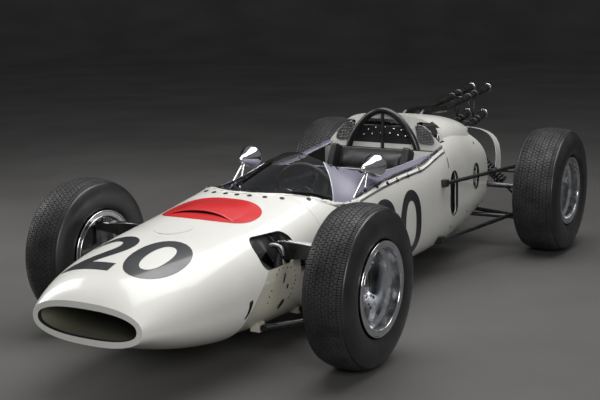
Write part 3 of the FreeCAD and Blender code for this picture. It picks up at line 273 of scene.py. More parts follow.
BY_SLOT = {
    "body_white": WHITE_PAINT, "duct_olive": DUCT_PAINT, "radiator_core": CORE_BLACK,
    "bulkhead_beige": TUB_PAINT, "smoked_screen": SCREEN, "wire_mesh": WIRE,
    "black_tube": BLACK_TUBE, "seat_leather": SEAT_LEATHER, "dash_black": DASH_BLACK,
    "polished_metal": POLISHED, "cast_engine": CAST_ENGINE, "cast_gearbox": CAST_GEARBOX,
    "exhaust_dark": EXHAUST, "wheel_leather": WHEEL_LEATHER, "dark_steel": DARK_STEEL,
    "tyre_rubber": TYRE_WALL, "rim_alloy": RIM_ALLOY, "tub_dark": COCKPIT_BLACK_AND_PAINTED_SHADE,
}


def dress_nodes():
    """Gives each CAD node the finish that its record slot asks for."""
    for entry in frame["record"]["subparts"]:
        mesh = NODES[entry["node"]].data
        mesh.materials.clear()
        mesh.materials.append(BY_SLOT[entry["material_slot"]])


def paint_faces(node, mat, wanted):
    """Gives a second finish to the faces of a node that a test picks by middle and normal."""
    mesh = NODES[node].data
    index = len(mesh.materials)
    mesh.materials.append(mat)
    for poly in mesh.polygons:
        if wanted(poly.center, poly.normal):
            poly.material_index = index


# Mesh helpers

def show(name, mesh, mats, smooth=True):
    """Adds a mesh to the scene with its finishes."""
    obj = bpy.data.objects.new(name, mesh)
    bpy.context.scene.collection.objects.link(obj)
    for mat in mats if isinstance(mats, (list, tuple)) else [mats]:
        mesh.materials.append(mat)
    mesh.polygons.foreach_set("use_smooth", [smooth] * len(mesh.polygons))
    return obj


def attach(obj, body="chassis"):
    """Says which body a piece rides on."""
    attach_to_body(obj, body)
    return obj


def mesh_object(name, verts, faces, mats, smooth=True):
    mesh = bpy.data.meshes.new(name)
    mesh.from_pydata([tuple(v) for v in verts], [], faces)
    mesh.validate()
    return show(name, mesh, mats, smooth)


def join_meshes(name, parts, mat, smooth=True, body="chassis"):
    """One piece from many (vertices, faces) parts."""
    verts, faces = [], []
    for part_verts, part_faces in parts:
        base = len(verts)
        verts.extend(part_verts)
        faces.extend([tuple(base + i for i in face) for face in part_faces])
    return attach(mesh_object(name, verts, faces, mat, smooth), body)


def ring_faces(count, steps):
    """Quads between closed rings of points."""
    faces = []
    for ring in range(count - 1):
        for step in range(steps):
            a = ring * steps + step
            b = ring * steps + (step + 1) % steps
            faces.append((a, b, b + steps, a + steps))
    return faces


def lathe(profile, origin, axis, steps=24, capped=True):
    """Revolved (radius, along) profile about an axis."""
    turn = Vector(axis).normalized().to_track_quat("Z", "Y")
    verts = []
    for radius, along in profile:
        for step in range(steps):
            angle = 2 * math.pi * step / steps
            local = Vector((radius * math.cos(angle), radius * math.sin(angle), along))
            verts.append(Vector(origin) + turn @ local)
    faces = ring_faces(len(profile), steps)
    for ring, order in ((0, -1), (len(profile) - 1, 1)):
        if capped and profile[ring][0] > 1e-6:
            faces.append(tuple(range(ring * steps, ring * steps + steps))[::order])
    return verts, faces


def tube(points, radius, steps=10):
    """Round tube along a smooth line of points."""
    points = [Vector(p) for p in points]
    last = len(points) - 1
    verts = []
    normal = (points[1] - points[0]).normalized().orthogonal().normalized()
    for index, point in enumerate(points):
        tangent = (points[min(index + 1, last)] - points[max(index - 1, 0)]).normalized()
        normal = (normal - tangent * normal.dot(tangent)).normalized()
        side = tangent.cross(normal)
        for step in range(steps):
            angle = 2 * math.pi * step / steps
            verts.append(point + (normal * math.cos(angle) + side * math.sin(angle)) * radius)
    faces = ring_faces(len(points), steps)
    faces.append(tuple(reversed(range(steps))))
    faces.append(tuple(range(last * steps, (last + 1) * steps)))
    return verts, faces


def smooth_line(points, count):
    """Points along a Catmull-Rom line through the given points."""
    pts = [Vector(p) for p in points]
    pts = [2 * pts[0] - pts[1]] + pts + [2 * pts[-1] - pts[-2]]
    line = []
    spans = len(pts) - 3
    for index in range(count):
        place = index / (count - 1) * spans
        span = min(int(place), spans - 1)
        t = place - span
        p0, p1, p2, p3 = pts[span:span + 4]
        line.append(0.5 * (2 * p1 + (p2 - p0) * t + (2 * p0 - 5 * p1 + 4 * p2 - p3) * t * t
                           + (3 * p1 - p0 - 3 * p2 + p3) * t ** 3))
    return line


def turned(place, axis, steps, *profile, capped=True):
    """Lathe work from (radius, height) pairs in millimetres."""
    return lathe([(radius / 1000, along / 1000) for radius, along in profile], place, axis, steps,
                 capped)


def bolt_circle(middle, side, radius, count, *profile, start=0.0):
    """Hexagon heads on a circle round a sideways axis."""
    heads = []
    for index in range(count):
        angle = 2 * math.pi * index / count + start
        place = middle + Vector((0, radius * math.cos(angle), radius * math.sin(angle)))
        heads.append(turned(place, (side, 0, 0), 6, *profile))
    return heads


def smooth_pairs(points, count):
    """Smooth line through (x, y) points, as pairs."""
    return [(p.x, p.y) for p in smooth_line([(x, y, 0) for x, y in points], count)]


def smooth_pipe(side, run, count, radius, steps):
    """Round pipe through (x, distance behind the front axle, height) places."""
    return tube(smooth_line([(side * x, ahead(back), z) for x, back, z in run], count), radius,
                steps)


class Surface:
    """Skin of some CAD nodes or meshes, on which pieces are placed by casting rays."""

    def __init__(self, *names):
        self.verts, self.faces, self.normals = [], [], []
        for name in names:
            mesh = NODES[name].data if isinstance(name, str) else name
            base = len(self.verts)
            self.verts.extend([v.co.copy() for v in mesh.vertices])
            for poly in mesh.polygons:
                self.faces.append([base + i for i in poly.vertices])
                loops = poly.loop_indices
                self.normals.append([mesh.corner_normals[i].vector.copy() for i in loops])
        self.tree = BVHTree.FromPolygons(self.verts, self.faces)

    def cast(self, start, direction):
        """Point and smooth normal where a ray meets the skin, or None."""
        point, flat, index, _ = self.tree.ray_cast(Vector(start), Vector(direction))
        if point is None:
            return None
        weights = poly_3d_calc([self.verts[i] for i in self.faces[index]], point)
        normal = Vector((0, 0, 0))
        for weight, corner in zip(weights, self.normals[index]):
            normal += corner * weight
        normal.normalize()
        return point, normal if normal.dot(flat) > 0.5 else flat

    def below(self, x, back):
        return self.cast(*from_above()(x, back))

    def beside(self, side, back, height):
        return self.cast(*from_side(side)(back, height))


BODY_SKIN = Surface("nose_cowl", "monocoque_tub", "engine_cover")


def cut_into_cells(mesh, cell):
    """Cuts a flat mesh along a grid, so that it can follow a curved skin."""
    bm = bmesh.new()
    bm.from_mesh(mesh)
    for axis in (0, 1):
        low = min(v.co[axis] for v in bm.verts)
        high = max(v.co[axis] for v in bm.verts)
        normal = Vector((1, 0, 0)) if axis == 0 else Vector((0, 1, 0))
        for index in range(1, int((high - low) / cell) + 1):
            bmesh.ops.bisect_plane(bm, geom=bm.verts[:] + bm.edges[:] + bm.faces[:],
                                   plane_co=normal * (low + index * cell), plane_no=normal)
    bmesh.ops.remove_doubles(bm, verts=bm.verts[:], dist=1e-5)
    bm.to_mesh(mesh)
    bm.free()


def flat_shape(outline):
    """Flat mesh inside a closed outline of (u, v) points."""
    bm = bmesh.new()
    bm.faces.new([bm.verts.new((u, v, 0)) for u, v in outline])
    mesh = bpy.data.meshes.new("flat shape")
    bm.to_mesh(mesh)
    bm.free()
    return mesh


def flat_digits(text, width, height, weight):
    """Flat plain digits of a given size, centred, with extra stroke weight."""
    curve = bpy.data.curves.new("digits", "FONT")
    curve.body = text
    curve.offset = weight
    curve.resolution_u = 8
    source = bpy.data.objects.new("digits", curve)
    mesh = bpy.data.meshes.new_from_object(source)
    bpy.data.objects.remove(source)
    points = np.array([v.co for v in mesh.vertices])
    low, high = points.min(0), points.max(0)
    for vertex in mesh.vertices:
        u = (vertex.co.x - (low[0] + high[0]) / 2) / (high[0] - low[0]) * width
        v = (vertex.co.y - (low[1] + high[1]) / 2) / (high[1] - low[1]) * height
        vertex.co = (u, v, 0)
    return mesh


def laid_on(name, mesh, place, mat, cell=0.012, lift=0.0006, surface=None):
    """Lays a flat mesh on the skin as a thin film; place turns (u, v) into a ray."""
    surface = surface or BODY_SKIN
    cut_into_cells(mesh, cell)
    normals = []
    reach = 0
    for vertex in mesh.vertices:
        start, direction = place(vertex.co.x, vertex.co.y)
        found = surface.cast(start, direction)
        if found:
            point, normal = found
            reach = (point - Vector(start)).length
        else:
            edge = Vector(start) + Vector(direction) * reach
            point, normal = surface.tree.find_nearest(edge)[:2]
        vertex.co = point + normal * lift
        normals.append(normal)
    mesh.update()
    mean = sum((poly.normal * poly.area for poly in mesh.polygons), Vector())
    if mean.dot(sum(normals, Vector())) < 0:
        mesh.flip_normals()
    film = attach(show(name, mesh, mat))
    mesh.normals_split_custom_set_from_vertices(normals)
    return film


NUMBER = "20"
NOSE_NUMBER_SIZE = (0.46, 0.285)
NOSE_NUMBER_WEIGHT = 0.02
NOSE_NUMBER_BACK = -0.525
FLANK_NUMBER_SIZE = (0.50, 0.335)
FLANK_NUMBER_WEIGHT = 0.01
FLANK_NUMBER_BACK = 0.955
FLANK_NUMBER_HEIGHT = 0.335
DISC_HALF = (0.215, 0.14)
DISC_BACK = -0.01
ROUND_COVER_BACK = -0.262
ROUND_COVER_RADIUS = 0.08


def make_numbers():
    """Plain race number on the nose and both flanks."""
    laid_on("nose_number", flat_digits(NUMBER, *NOSE_NUMBER_SIZE, NOSE_NUMBER_WEIGHT),
            from_above(NOSE_NUMBER_BACK), NUMBER_BLACK)
    for side, word in SIDES:
        def flank(u, v, side=side):
            return from_side(side)(FLANK_NUMBER_BACK + side * u, FLANK_NUMBER_HEIGHT + v)

        laid_on("flank_number_" + word, flat_digits(NUMBER, *FLANK_NUMBER_SIZE,
                                                    FLANK_NUMBER_WEIGHT),
                flank, NUMBER_BLACK)


def rounded_outline(half_u, half_v, power, count=72):
    """Closed superellipse outline."""
    points = []
    for index in range(count):
        angle = 2 * math.pi * index / count
        u = half_u * math.copysign(abs(math.cos(angle)) ** (2 / power), math.cos(angle))
        v = half_v * math.copysign(abs(math.sin(angle)) ** (2 / power), math.sin(angle))
        points.append((u, v))
    return points


def make_disc():
    laid_on("red_disc", flat_shape(rounded_outline(*DISC_HALF, 2.5)), from_above(DISC_BACK),
            RED_PAINT)


def fastener(point, normal, radius):
    """Quarter-turn fastener: a dished collar with a slotted head."""
    profile = [(radius * reach, radius * height) for reach, height in (
        (1, 0), (1, 0.18), (0.78, 0.24), (0.70, 0.08), (0.62, 0.08), (0.58, 0.26), (0, 0.30))]
    collar = lathe(profile, point, normal, 14)
    across = normal.orthogonal().normalized()
    along = normal.cross(across)
    top = point + normal * radius * 0.32
    slot = []
    for u, v in SQUARE:
        slot.append(top + across * u * radius * 0.5 + along * v * radius * 0.09)
    base = len(collar[0])
    return collar[0] + slot, collar[1] + [(base, base + 1, base + 2, base + 3)]


def row_of_fasteners(name, founds, radius, mat, lift=0.0):
    """Fasteners at the places where rays have met a skin."""
    parts = [fastener(point + normal * lift, normal, radius) for point,
             normal in filter(None, founds)]
    join_meshes(name, parts, mat, False)


def rivet(point, normal, radius):
    """Domed rivet head."""
    profile = [(radius, -0.0002), (radius * 0.9, radius * 0.28), (radius * 0.6, radius * 0.5),
               (0.0, radius * 0.6)]
    return lathe(profile, point, normal, 8)


COCKPIT_FASTENERS = [
    (0.0, 0.180), (0.060, 0.184), (0.128, 0.197), (0.192, 0.230), (0.268, 0.320), (0.318, 0.442),
    (0.343, 0.596), (0.350, 0.683), (0.356, 0.787), (0.361, 0.887), (0.363, 0.990), (0.364, 1.106),
    (0.362, 1.240)]


def make_cockpit_fasteners():
    """Dark fasteners round the foot of the windscreen and along the cockpit edge."""
    skin = Surface("nose_cowl", "monocoque_tub", "windscreen")
    founds = [skin.below(side * x, back) for x, back in COCKPIT_FASTENERS
              for side in ((1, -1) if x else (1,))]
    row_of_fasteners("cockpit_fasteners", founds, 0.0105, BLACK_TUBE, 0.0006)


# Tyres

TREAD_RIBS = 11
TREAD_PITCH = 0.0200
TREAD_DEPTH = 0.004
GROOVE = 0.0026
ZIGZAG = 0.0030
TREAD_SHARE = 0.78
SIPE_ROWS = (0.0, 0.09, 0.18, 0.5, 0.59, 0.68)


def tyre_profile(radius, half, bead):
    """Outer sidewall from the tread's edge to the bead, as (offset, radius)."""
    flange = 0.185
    middle = (radius + 0.1663) / 2
    return smooth_line([
        (half * 0.80, radius - 0.015, 0), (half * 0.93, radius - 0.038, 0),
        (half, middle + 0.006, 0), (half * 0.975, flange + 0.024, 0), (bead, flange + 0.007, 0)],
                       10)


def crown(radius, half, offset):
    """Radius of the tread's crown at an offset from the tyre's middle."""
    share = abs(offset) / half
    return radius - 0.0148 * (share / TREAD_SHARE) ** 2.6


def tread_columns(band, rib):
    """Edges of the ribs across the tread, as (offset, 1 in a groove or 0 on a rib, rib)."""
    columns = []
    for index in range(TREAD_RIBS):
        start = -band + index * rib
        columns += [(start, 1, index), (start + GROOVE / 2, 0, index),
                    (start + rib - GROOVE / 2, 0, index), (start + rib, 1, index)]
    return columns


def make_tyre(corner):
    """Tyre with zigzag ribs, cross sipes, shoulder blocks and plain sidewalls."""
    node = "tyre_" + corner
    centre, half, radius, _ = wheel_size(node)
    wall = tyre_profile(radius, half, wheel_size("rim_" + corner)[1] - 0.006)
    pitches = round(2 * math.pi * radius / TREAD_PITCH)
    band = half * TREAD_SHARE
    rib = 2 * band / TREAD_RIBS
    columns = tread_columns(band, rib)
    verts = []
    total = pitches * len(SIPE_ROWS)
    for step in range(total):
        pitch, row = divmod(step, len(SIPE_ROWS))
        share = SIPE_ROWS[row]
        angle = 2 * math.pi * (pitch + share) / pitches
        swing = 4 * abs((share - 0.09) % 1.0 - 0.5) - 1
        ring = [(-point.x, point.y) for point in reversed(wall)]
        for offset, groove, index in columns:
            fade = min(1.0, (band - abs(offset)) / (rib * 0.9))
            place = offset + ZIGZAG * swing * fade
            sipe = row == (1 if index % 2 else 4)
            edge = index in (0, TREAD_RIBS - 1)
            deep = 0.8 if sipe or (edge and row in (1, 4)) else 0
            if groove:
                deep = 0.5 if abs(offset) > band - 1e-6 else 1
            ring.append((place, crown(radius, half, place) - TREAD_DEPTH * deep))
        ring += [(point.x, point.y) for point in wall]
        for offset, r in ring:
            verts.append((centre.x + offset, centre.y + r * math.cos(angle),
                          centre.z + r * math.sin(angle)))
    size = len(wall) * 2 + len(columns)
    faces, kinds = [], []
    for step in range(total):
        a = step * size
        b = ((step + 1) % total) * size
        for i in range(size - 1):
            faces.append((a + i, a + i + 1, b + i + 1, b + i))
            kinds.append(0 if len(wall) <= i < len(wall) + len(columns) - 1 else 1)
    obj = mesh_object("tread_" + corner, verts, faces, [TYRE_TREAD, TYRE_WALL])
    obj.data.polygons.foreach_set("material_index", kinds)
    obj.data.polygons.foreach_set("use_smooth", [kind == 1 for kind in kinds])
    attach(obj, "wheel_" + corner)
    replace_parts(obj, node)


# Second finishes on the CAD pieces

LEDGE = 0.498
BULKHEAD_TOP = 0.618


def paint_inside():
    """Black inside the shell, and on the floor and ledges of the cockpit; painted shade on the
    walls of the rocker slots in the front bulkhead.
    """
    for node in ("nose_cowl", "monocoque_tub", "engine_cover"):
        skin = Surface(node)

        def hidden(middle, normal, tree=skin.tree):
            return tree.ray_cast(middle + normal * 0.002, normal)[0] is not None

        paint_faces(node, COCKPIT_BLACK_AND_PAINTED_SHADE, hidden)

    def cockpit_floor(middle, normal):
        return normal.z > 0.9 and (middle.z < LEDGE + 0.001 or abs(middle.z - BULKHEAD_TOP) < 0.001)

    paint_faces("monocoque_tub", COCKPIT_BLACK_AND_PAINTED_SHADE, cockpit_floor)
    paint_faces("nose_cowl", COCKPIT_BLACK_AND_PAINTED_SHADE,
                lambda middle, normal: normal.z > 0.99 and abs(middle.z - LEDGE) < 0.001)

    # Painted shade: the side walls of the rocker slots are made black.
    def rocker_slot_shade(middle, normal):
        near = abs(middle.y - ahead(-0.02)) < 0.19 and 0.395 < middle.z < 0.54
        return near and abs(middle.x) > 0.18 and abs(normal.x) < 0.8

    paint_faces("front_bulkhead", COCKPIT_BLACK_AND_PAINTED_SHADE, rocker_slot_shade)


def mirrored(half, middle):
    """Line of (x, y) points over the car's middle, from its left half."""
    return half + [middle] + [(-x, back) for x, back in reversed(half)]


def cockpit_edge(count):
    """Points round the cockpit's opening, from its left rear corner to its right one."""
    half = [(0.332, 1.590), (0.341, 1.45), (0.352, 1.27), (0.352, 0.90), (0.352, 0.60),
            (0.339, 0.50), (0.318, 0.405), (0.273, 0.345), (0.21, 0.292), (0.11, 0.228)]
    return [Vector((x, ahead(back), 0)) for x, back in smooth_pairs(mirrored(half, (0.0, 0.206)),
                                                                    count)]


SCREEN_FOOT = (-0.0035, 0.0005, 0.005, 0.009, 0.0128, 0.0134)
FOOT_LIFT = 0.0007
FOOT_SINK = -0.003
FOOT_STEP = 0.012


def make_screen_foot():
    """White painted band that holds the screen's foot to the body."""
    skin = Surface("windscreen", "nose_cowl", "monocoque_tub")
    line = cockpit_edge(320)
    reference = line[0].z
    size = len(SCREEN_FOOT)
    verts, faces = [], []
    for index, point in enumerate(line):
        along = (line[min(index + 1, len(line) - 1)] - line[max(index - 1, 0)]).normalized()
        outward = Vector((-along.y, along.x, 0))
        if outward.dot(point - Vector((0, ahead(0.9), 0))) < 0:
            outward = -outward
        below = skin.cast((point.x + outward.x * 0.008, point.y + outward.y * 0.008, RAY_TOP),
                          (0, 0, -1))
        reference = below[0].z if below else reference
        for order, reach in enumerate(SCREEN_FOOT):
            place = point + outward * reach
            found = skin.cast((place.x, place.y, reference + FOOT_STEP), (0, 0, -1))
            near = found and abs(found[0].z - reference) < FOOT_STEP
            height = found[0].z if near else reference
            lift = FOOT_LIFT if order < size - 1 else FOOT_SINK
            verts.append(Vector((place.x, place.y, height + lift)))
    for index in range(len(line) - 1):
        for order in range(size - 1):
            a = index * size + order
            faces.append((a, a + 1, a + size + 1, a + size))
    attach(mesh_object("screen_foot", verts, faces, WHITE_PAINT))


def make_side_screens():
    """Tinted side panels that lap over the clear bubble. Their mostly opaque lilac grey is partly a
    painted reflection of the studio, and a silver tube along their front edge is a painted
    highlight.
    """
    inner = [(0.132, 0.694), (0.211, 0.790), (0.239, 0.89), (0.266, 1.03), (0.288, 1.24),
             (0.311, 1.46), (0.315, 1.59)]
    outer = [(0.330, 1.59), (0.338, 1.45), (0.3485, 1.27), (0.3485, 0.90), (0.3485, 0.60),
             (0.337, 0.51), (0.320, 0.438)]
    front = [(0.302, 0.470), (0.262, 0.545), (0.205, 0.625), (0.155, 0.675)]
    outline = smooth_pairs(inner, 40) + smooth_pairs(outer, 40) + smooth_pairs(front, 16)
    edge = smooth_pairs(outer[-1:] + front + inner[:1], 40)
    skin = Surface("windscreen")
    for side, word in SIDES:
        laid_on("side_screen_" + word, flat_shape(outline), from_above(side=side), SIDE_SCREEN_WITH_REFLECTION,
                cell=0.02, lift=0.0012, surface=skin)
        # Painted highlight: a silver tube along the panel's front edge on the bubble.
        founds = filter(None, [skin.below(side * x, back) for x, back in edge])
        border = [point + normal * 0.0014 for point, normal in founds]
        join_meshes("bubble_edge_highlight_" + word, [tube(border, 0.0022, 8)], RIM_ALLOY)


def paint_wheels():
    for corner in CORNERS:
        axle = node_middle("rim_" + corner)

        def barrel(middle, normal, axle=axle):
            return math.hypot(middle.y - axle.y, middle.z - axle.z) > 0.1435

        paint_faces("rim_" + corner, BARREL, barrel)


def paint_trim():
    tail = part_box("exhausts")[1].y

    def tip(middle, normal):
        return middle.y > tail - 0.030 or (middle.y > tail - 0.078 and middle.z < 0.72)

    paint_faces("exhausts", POLISHED, tip)
    wheel = node_middle("steering_wheel")
    paint_faces("steering_wheel", POLISHED, lambda middle, normal: (middle - wheel).length < 0.136)
    paint_faces("front_rockers", POLISHED, lambda middle, normal: abs(normal.y) < 0.3)


# Nose details

BLISTER_HALF = 0.165
BLISTER_MOUTH = 0.012


def blister_front(x):
    """Distance behind the front axle of the mouth's edge."""
    return -0.078 - 0.022 * (x / 0.15) ** 2


def blister_rise(x, t):
    """Height of the blister over the skin; t runs from its mouth to its tail."""
    across = max(0.0, 1 - (x / BLISTER_HALF) ** 2)
    return across * (BLISTER_MOUTH * (1 - t) ** 1.5 + 0.046 * t * (1 - t) ** 1.6)


def make_blister():
    """Raised scoop on the nose, with a dark film of painted shade in its mouth, which faces
    forwards.
    """
    columns, rows, lip_rows = 44, 30, 6
    top, under = [], []
    for i in range(columns + 1):
        x = BLISTER_HALF * (-1 + 2 * i / columns)
        front = blister_front(x)
        back = 0.02 + 0.10 * math.sqrt(max(0.0, 1 - (x / 0.19) ** 2))
        for j in range(rows + 1):
            t = j / rows
            point = BODY_SKIN.below(x, front + (back - front) * t)[0]
            rise = blister_rise(x, t)
            top.append(point + Vector((0, 0, rise + 0.0012 * (1 - t) + 0.0004)))
            under.append(point + Vector((0, 0, max(rise - 0.0022, 0.0002))))
    faces = []
    size = rows + 1
    for i in range(columns):
        for j in range(rows):
            a = i * size + j
            faces.append((a, a + size, a + size + 1, a + 1))
    base = len(top)
    for i in range(columns):
        for j in range(lip_rows):
            a = base + i * size + j
            faces.append((a, a + 1, a + size + 1, a + size))
        a = i * size
        faces.append((a, base + a, base + a + size, a + size))
    attach(mesh_object("nose_blister", top + under, faces, RED_PAINT))

    def place(u, v):
        return from_above(blister_front(u))(u, v)

    # Painted shade: a dark film on the skin under the scoop's lip.
    mouth = [(x, -0.0015) for x in (-0.125, -0.08, -0.04, 0.0, 0.04, 0.08, 0.125)]
    mouth += [(x, 0.028) for x in (0.11, 0.06, 0.0, -0.06, -0.11)]
    laid_on("blister_mouth_shade", flat_shape(mouth), place, COCKPIT_BLACK_AND_PAINTED_SHADE, lift=0.0011)


def raised_panel(name, outline, place, mat, lift):
    """Thin panel that stands proud of the skin, with a side wall down to it."""
    mesh = flat_shape(outline)
    cut_into_cells(mesh, 0.012)
    bm = bmesh.new()
    bm.from_mesh(mesh)
    rim = [edge for edge in bm.edges if edge.is_boundary]
    wall = bmesh.ops.extrude_edge_only(bm, edges=rim)["geom"]
    foot = {item for item in wall if isinstance(item, bmesh.types.BMVert)}
    for vert in bm.verts:
        point, normal = BODY_SKIN.cast(*place(vert.co.x, vert.co.y))
        vert.co = point + normal * (-0.0004 if vert in foot else lift)
    bmesh.ops.recalc_face_normals(bm, faces=bm.faces[:])
    bm.to_mesh(mesh)
    bm.free()
    panel = attach(show(name, mesh, mat))
    panel.modifiers.new("sharp rim", "EDGE_SPLIT").split_angle = math.radians(40)


def make_nose_cover():
    raised_panel("nose_round_cover", rounded_outline(ROUND_COVER_RADIUS, ROUND_COVER_RADIUS, 2.0,
                                                     64), from_above(ROUND_COVER_BACK),
                 WHITE_PAINT, 0.0034)


def make_side_marks():
    """Comma-shaped louvres low on the nose, drawn as dark film of painted shade, and the dark slot
    at the cover's seam.
    """
    # Painted shade: each louvre is a dark film on the skin, not an opening.
    comma = [(-0.312, 0.226), (-0.300, 0.243), (-0.290, 0.262), (-0.285, 0.287), (-0.266, 0.293),
             (-0.263, 0.282), (-0.272, 0.262), (-0.285, 0.243), (-0.303, 0.225)]
    slot = [(1.5965, 0.535), (1.5965, 0.585), (1.6045, 0.590), (1.6045, 0.535)]
    for side, word in SIDES:
        for name, outline in (("nose_louvre_shade_", comma), ("seam_slot_", slot)):
            laid_on(name + word, flat_shape(outline), from_side(side), COCKPIT_BLACK_AND_PAINTED_SHADE,
                    lift=PAINT_LIFT)


def stadium(back, height, half_length, half_height, count=72):
    """Upright slot with round ends, as (back, height) points."""
    points = []
    for index in range(count):
        angle = 2 * math.pi * (index + 0.5) / count
        lift = math.copysign(half_height - half_length, math.sin(angle))
        points.append((back + half_length * math.cos(angle),
                       height + lift + half_length * math.sin(angle)))
    return points


# Each window: its cut outline and the wider outline of the painted shade round it.
WINDOWS = (("front", stadium(1.660, 0.392, 0.0355, 0.1135), stadium(1.672, 0.392, 0.062, 0.119)),
           ("rear", stadium(2.042, 0.424, 0.0305, 0.0665), stadium(2.062, 0.424, 0.058, 0.073)))


def make_window_shade_rims():
    """Painted shade: black film round the two upright windows in each flank of the cover, which
    makes their dark openings look wider.
    """
    rows = 4
    for name, inner, outer in WINDOWS:
        for side, word in SIDES:
            verts = []
            for row in range(rows + 1):
                share = row / rows
                for (u0, v0), (u1, v1) in zip(inner, outer):
                    found = BODY_SKIN.beside(side, u0 + (u1 - u0) * share, v0 + (v1 - v0) * share)
                    point, normal = found or BODY_SKIN.tree.find_nearest(verts[-1])[:2]
                    verts.append(point + normal * PAINT_LIFT)
            faces = [quad[::-side] for quad in ring_faces(rows + 1, len(inner))]
            attach(mesh_object("window_rim_%s_%s" % (name, word), verts, faces, COCKPIT_BLACK_AND_PAINTED_SHADE))


FIREWALL_FRONT = 1.5965
GRILLE_OUTLINE = [(0.178, 0.742), (0.200, 0.748), (0.236, 0.738), (0.262, 0.714), (0.281, 0.682),
                  (0.284, 0.657), (0.266, 0.648), (0.226, 0.650), (0.200, 0.658), (0.188, 0.694)]
HOOP_OUTLINE = [(-0.192, 0.644), (-0.186, 0.668), (-0.158, 0.708), (-0.130, 0.738), (-0.070, 0.743),
                (0.070, 0.743), (0.130, 0.738), (0.158, 0.708), (0.186, 0.668), (0.192, 0.644)]
FIREWALL_BOLTS = [(-0.120, 0.684), (-0.092, 0.712), (-0.072, 0.690), (-0.049, 0.724),
                  (-0.019, 0.696), (0.004, 0.728), (0.033, 0.698), (0.056, 0.722), (0.079, 0.690),
                  (0.101, 0.716), (0.124, 0.686)]


def inside_outline(x, z, outline):
    """Whether a point lies inside a closed outline."""
    inside = False
    for (x0, z0), (x1, z1) in zip(outline, outline[1:] + outline[:1]):
        if (z0 > z) != (z1 > z) and x < x0 + (z - z0) / (z1 - z0) * (x1 - x0):
            inside = not inside
    return inside


def make_firewall():
    """Black firewall inside the hoop, with its row of bright bolts."""
    def place(u, v):
        return (u, ahead(1.40), v), (0, 1, 0)

    laid_on("firewall_black", flat_shape(HOOP_OUTLINE), place, COCKPIT_BLACK_AND_PAINTED_SHADE,
            lift=PAINT_LIFT, surface=Surface("monocoque_tub"))
    bolts = []
    for x, z in FIREWALL_BOLTS:
        bolts.append(turned((x, ahead(FIREWALL_FRONT) - 0.0010, z), (0, -1, 0), 6,
                            (6.2, 0), (6.2, 1.6), (4.6, 1.8), (4.6, 6.4), (3, 7.4), (0, 7.6)))
    join_meshes("firewall_bolts", bolts, POLISHED, False)


def make_grilles():
    """Woven wire panels beside the roll hoop, with a black sheet of painted shade behind the mesh.
    """
    pitch, wire = 0.0082, 0.0009
    front = ahead(FIREWALL_FRONT)
    border = smooth_pairs(GRILLE_OUTLINE + GRILLE_OUTLINE[:1], 80)
    parts = []
    for side, word in SIDES:
        # Painted shade: black sheet just behind the mesh.
        shade_sheet = [Vector((side * x, front - 0.0012, z)) for x, z in border[:-1]]
        face = tuple(range(len(shade_sheet)))[::side]
        attach(mesh_object("grille_shade_" + word, shade_sheet, [face], COCKPIT_BLACK_AND_PAINTED_SHADE, False))

        def strand(places, wave, side=side):
            run = []
            for index, (x, z) in enumerate(places):
                if inside_outline(x, z, border):
                    depth = 0.0006 * wave * (-1) ** (index // 2) - 0.0030
                    run.append(Vector((side * x, front + depth, z)))
                elif len(run) > 3:
                    parts.append(tube(run, wire, 5))
                    run = []
            if len(run) > 3:
                parts.append(tube(run, wire, 5))

        for index in range(15):
            x = 0.172 + index * pitch
            strand([(x, 0.636 + step * pitch / 2) for step in range(32)], 1)
        for index in range(14):
            z = 0.640 + index * pitch
            strand([(0.168 + step * pitch / 2, z) for step in range(34)], -1)
        parts.append(tube([Vector((side * x, front - 0.0024, z)) for x, z in border], 0.0014, 6))
    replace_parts(join_meshes("wire_grilles", parts, WIRE), "cover_grilles")


# Cockpit details

def make_mirror_glass():
    """Glass discs set in the rear faces of the mirrors."""
    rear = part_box("mirrors")[1].y
    parts = []
    for side in (1, -1):
        toe = math.radians(6.0) * side
        axis = Vector((math.sin(toe), math.cos(toe), 0))
        middle = Vector((side * 0.337, rear - 0.0052, 0.654))
        parts.append(turned(middle, axis, 40, (43, 0), (43, 0.8), (40.5, 1.2), (0, 1.4)))
        parts.append(turned(middle, axis, 40, (47.5, -1), (47.5, 2), (45.5, 3.2), (43.2, 2),
                            (43.2, 0.5)))
    join_meshes("mirror_glass", parts, MIRROR_GLASS)


def ring_marks(origin, axis, radius, count, size, start=0.0, sweep=2 * math.pi, lift=0.0):
    """Small flat bars set round a dial."""
    axis = Vector(axis).normalized()
    up = Vector((0, 0, 1)) - axis * axis.z
    up.normalize()
    side = axis.cross(up)
    verts, faces = [], []
    for index in range(count):
        angle = start + sweep * index / max(1, count - 1)
        radial = side * math.sin(angle) + up * math.cos(angle)
        along = axis.cross(radial)
        middle = Vector(origin) + radial * radius + axis * lift
        base = len(verts)
        for u, v in SQUARE:
            verts.append(middle + radial * u * size[0] / 2 + along * v * size[1] / 2)
        faces.append((base, base + 1, base + 2, base + 3))
    return verts, faces


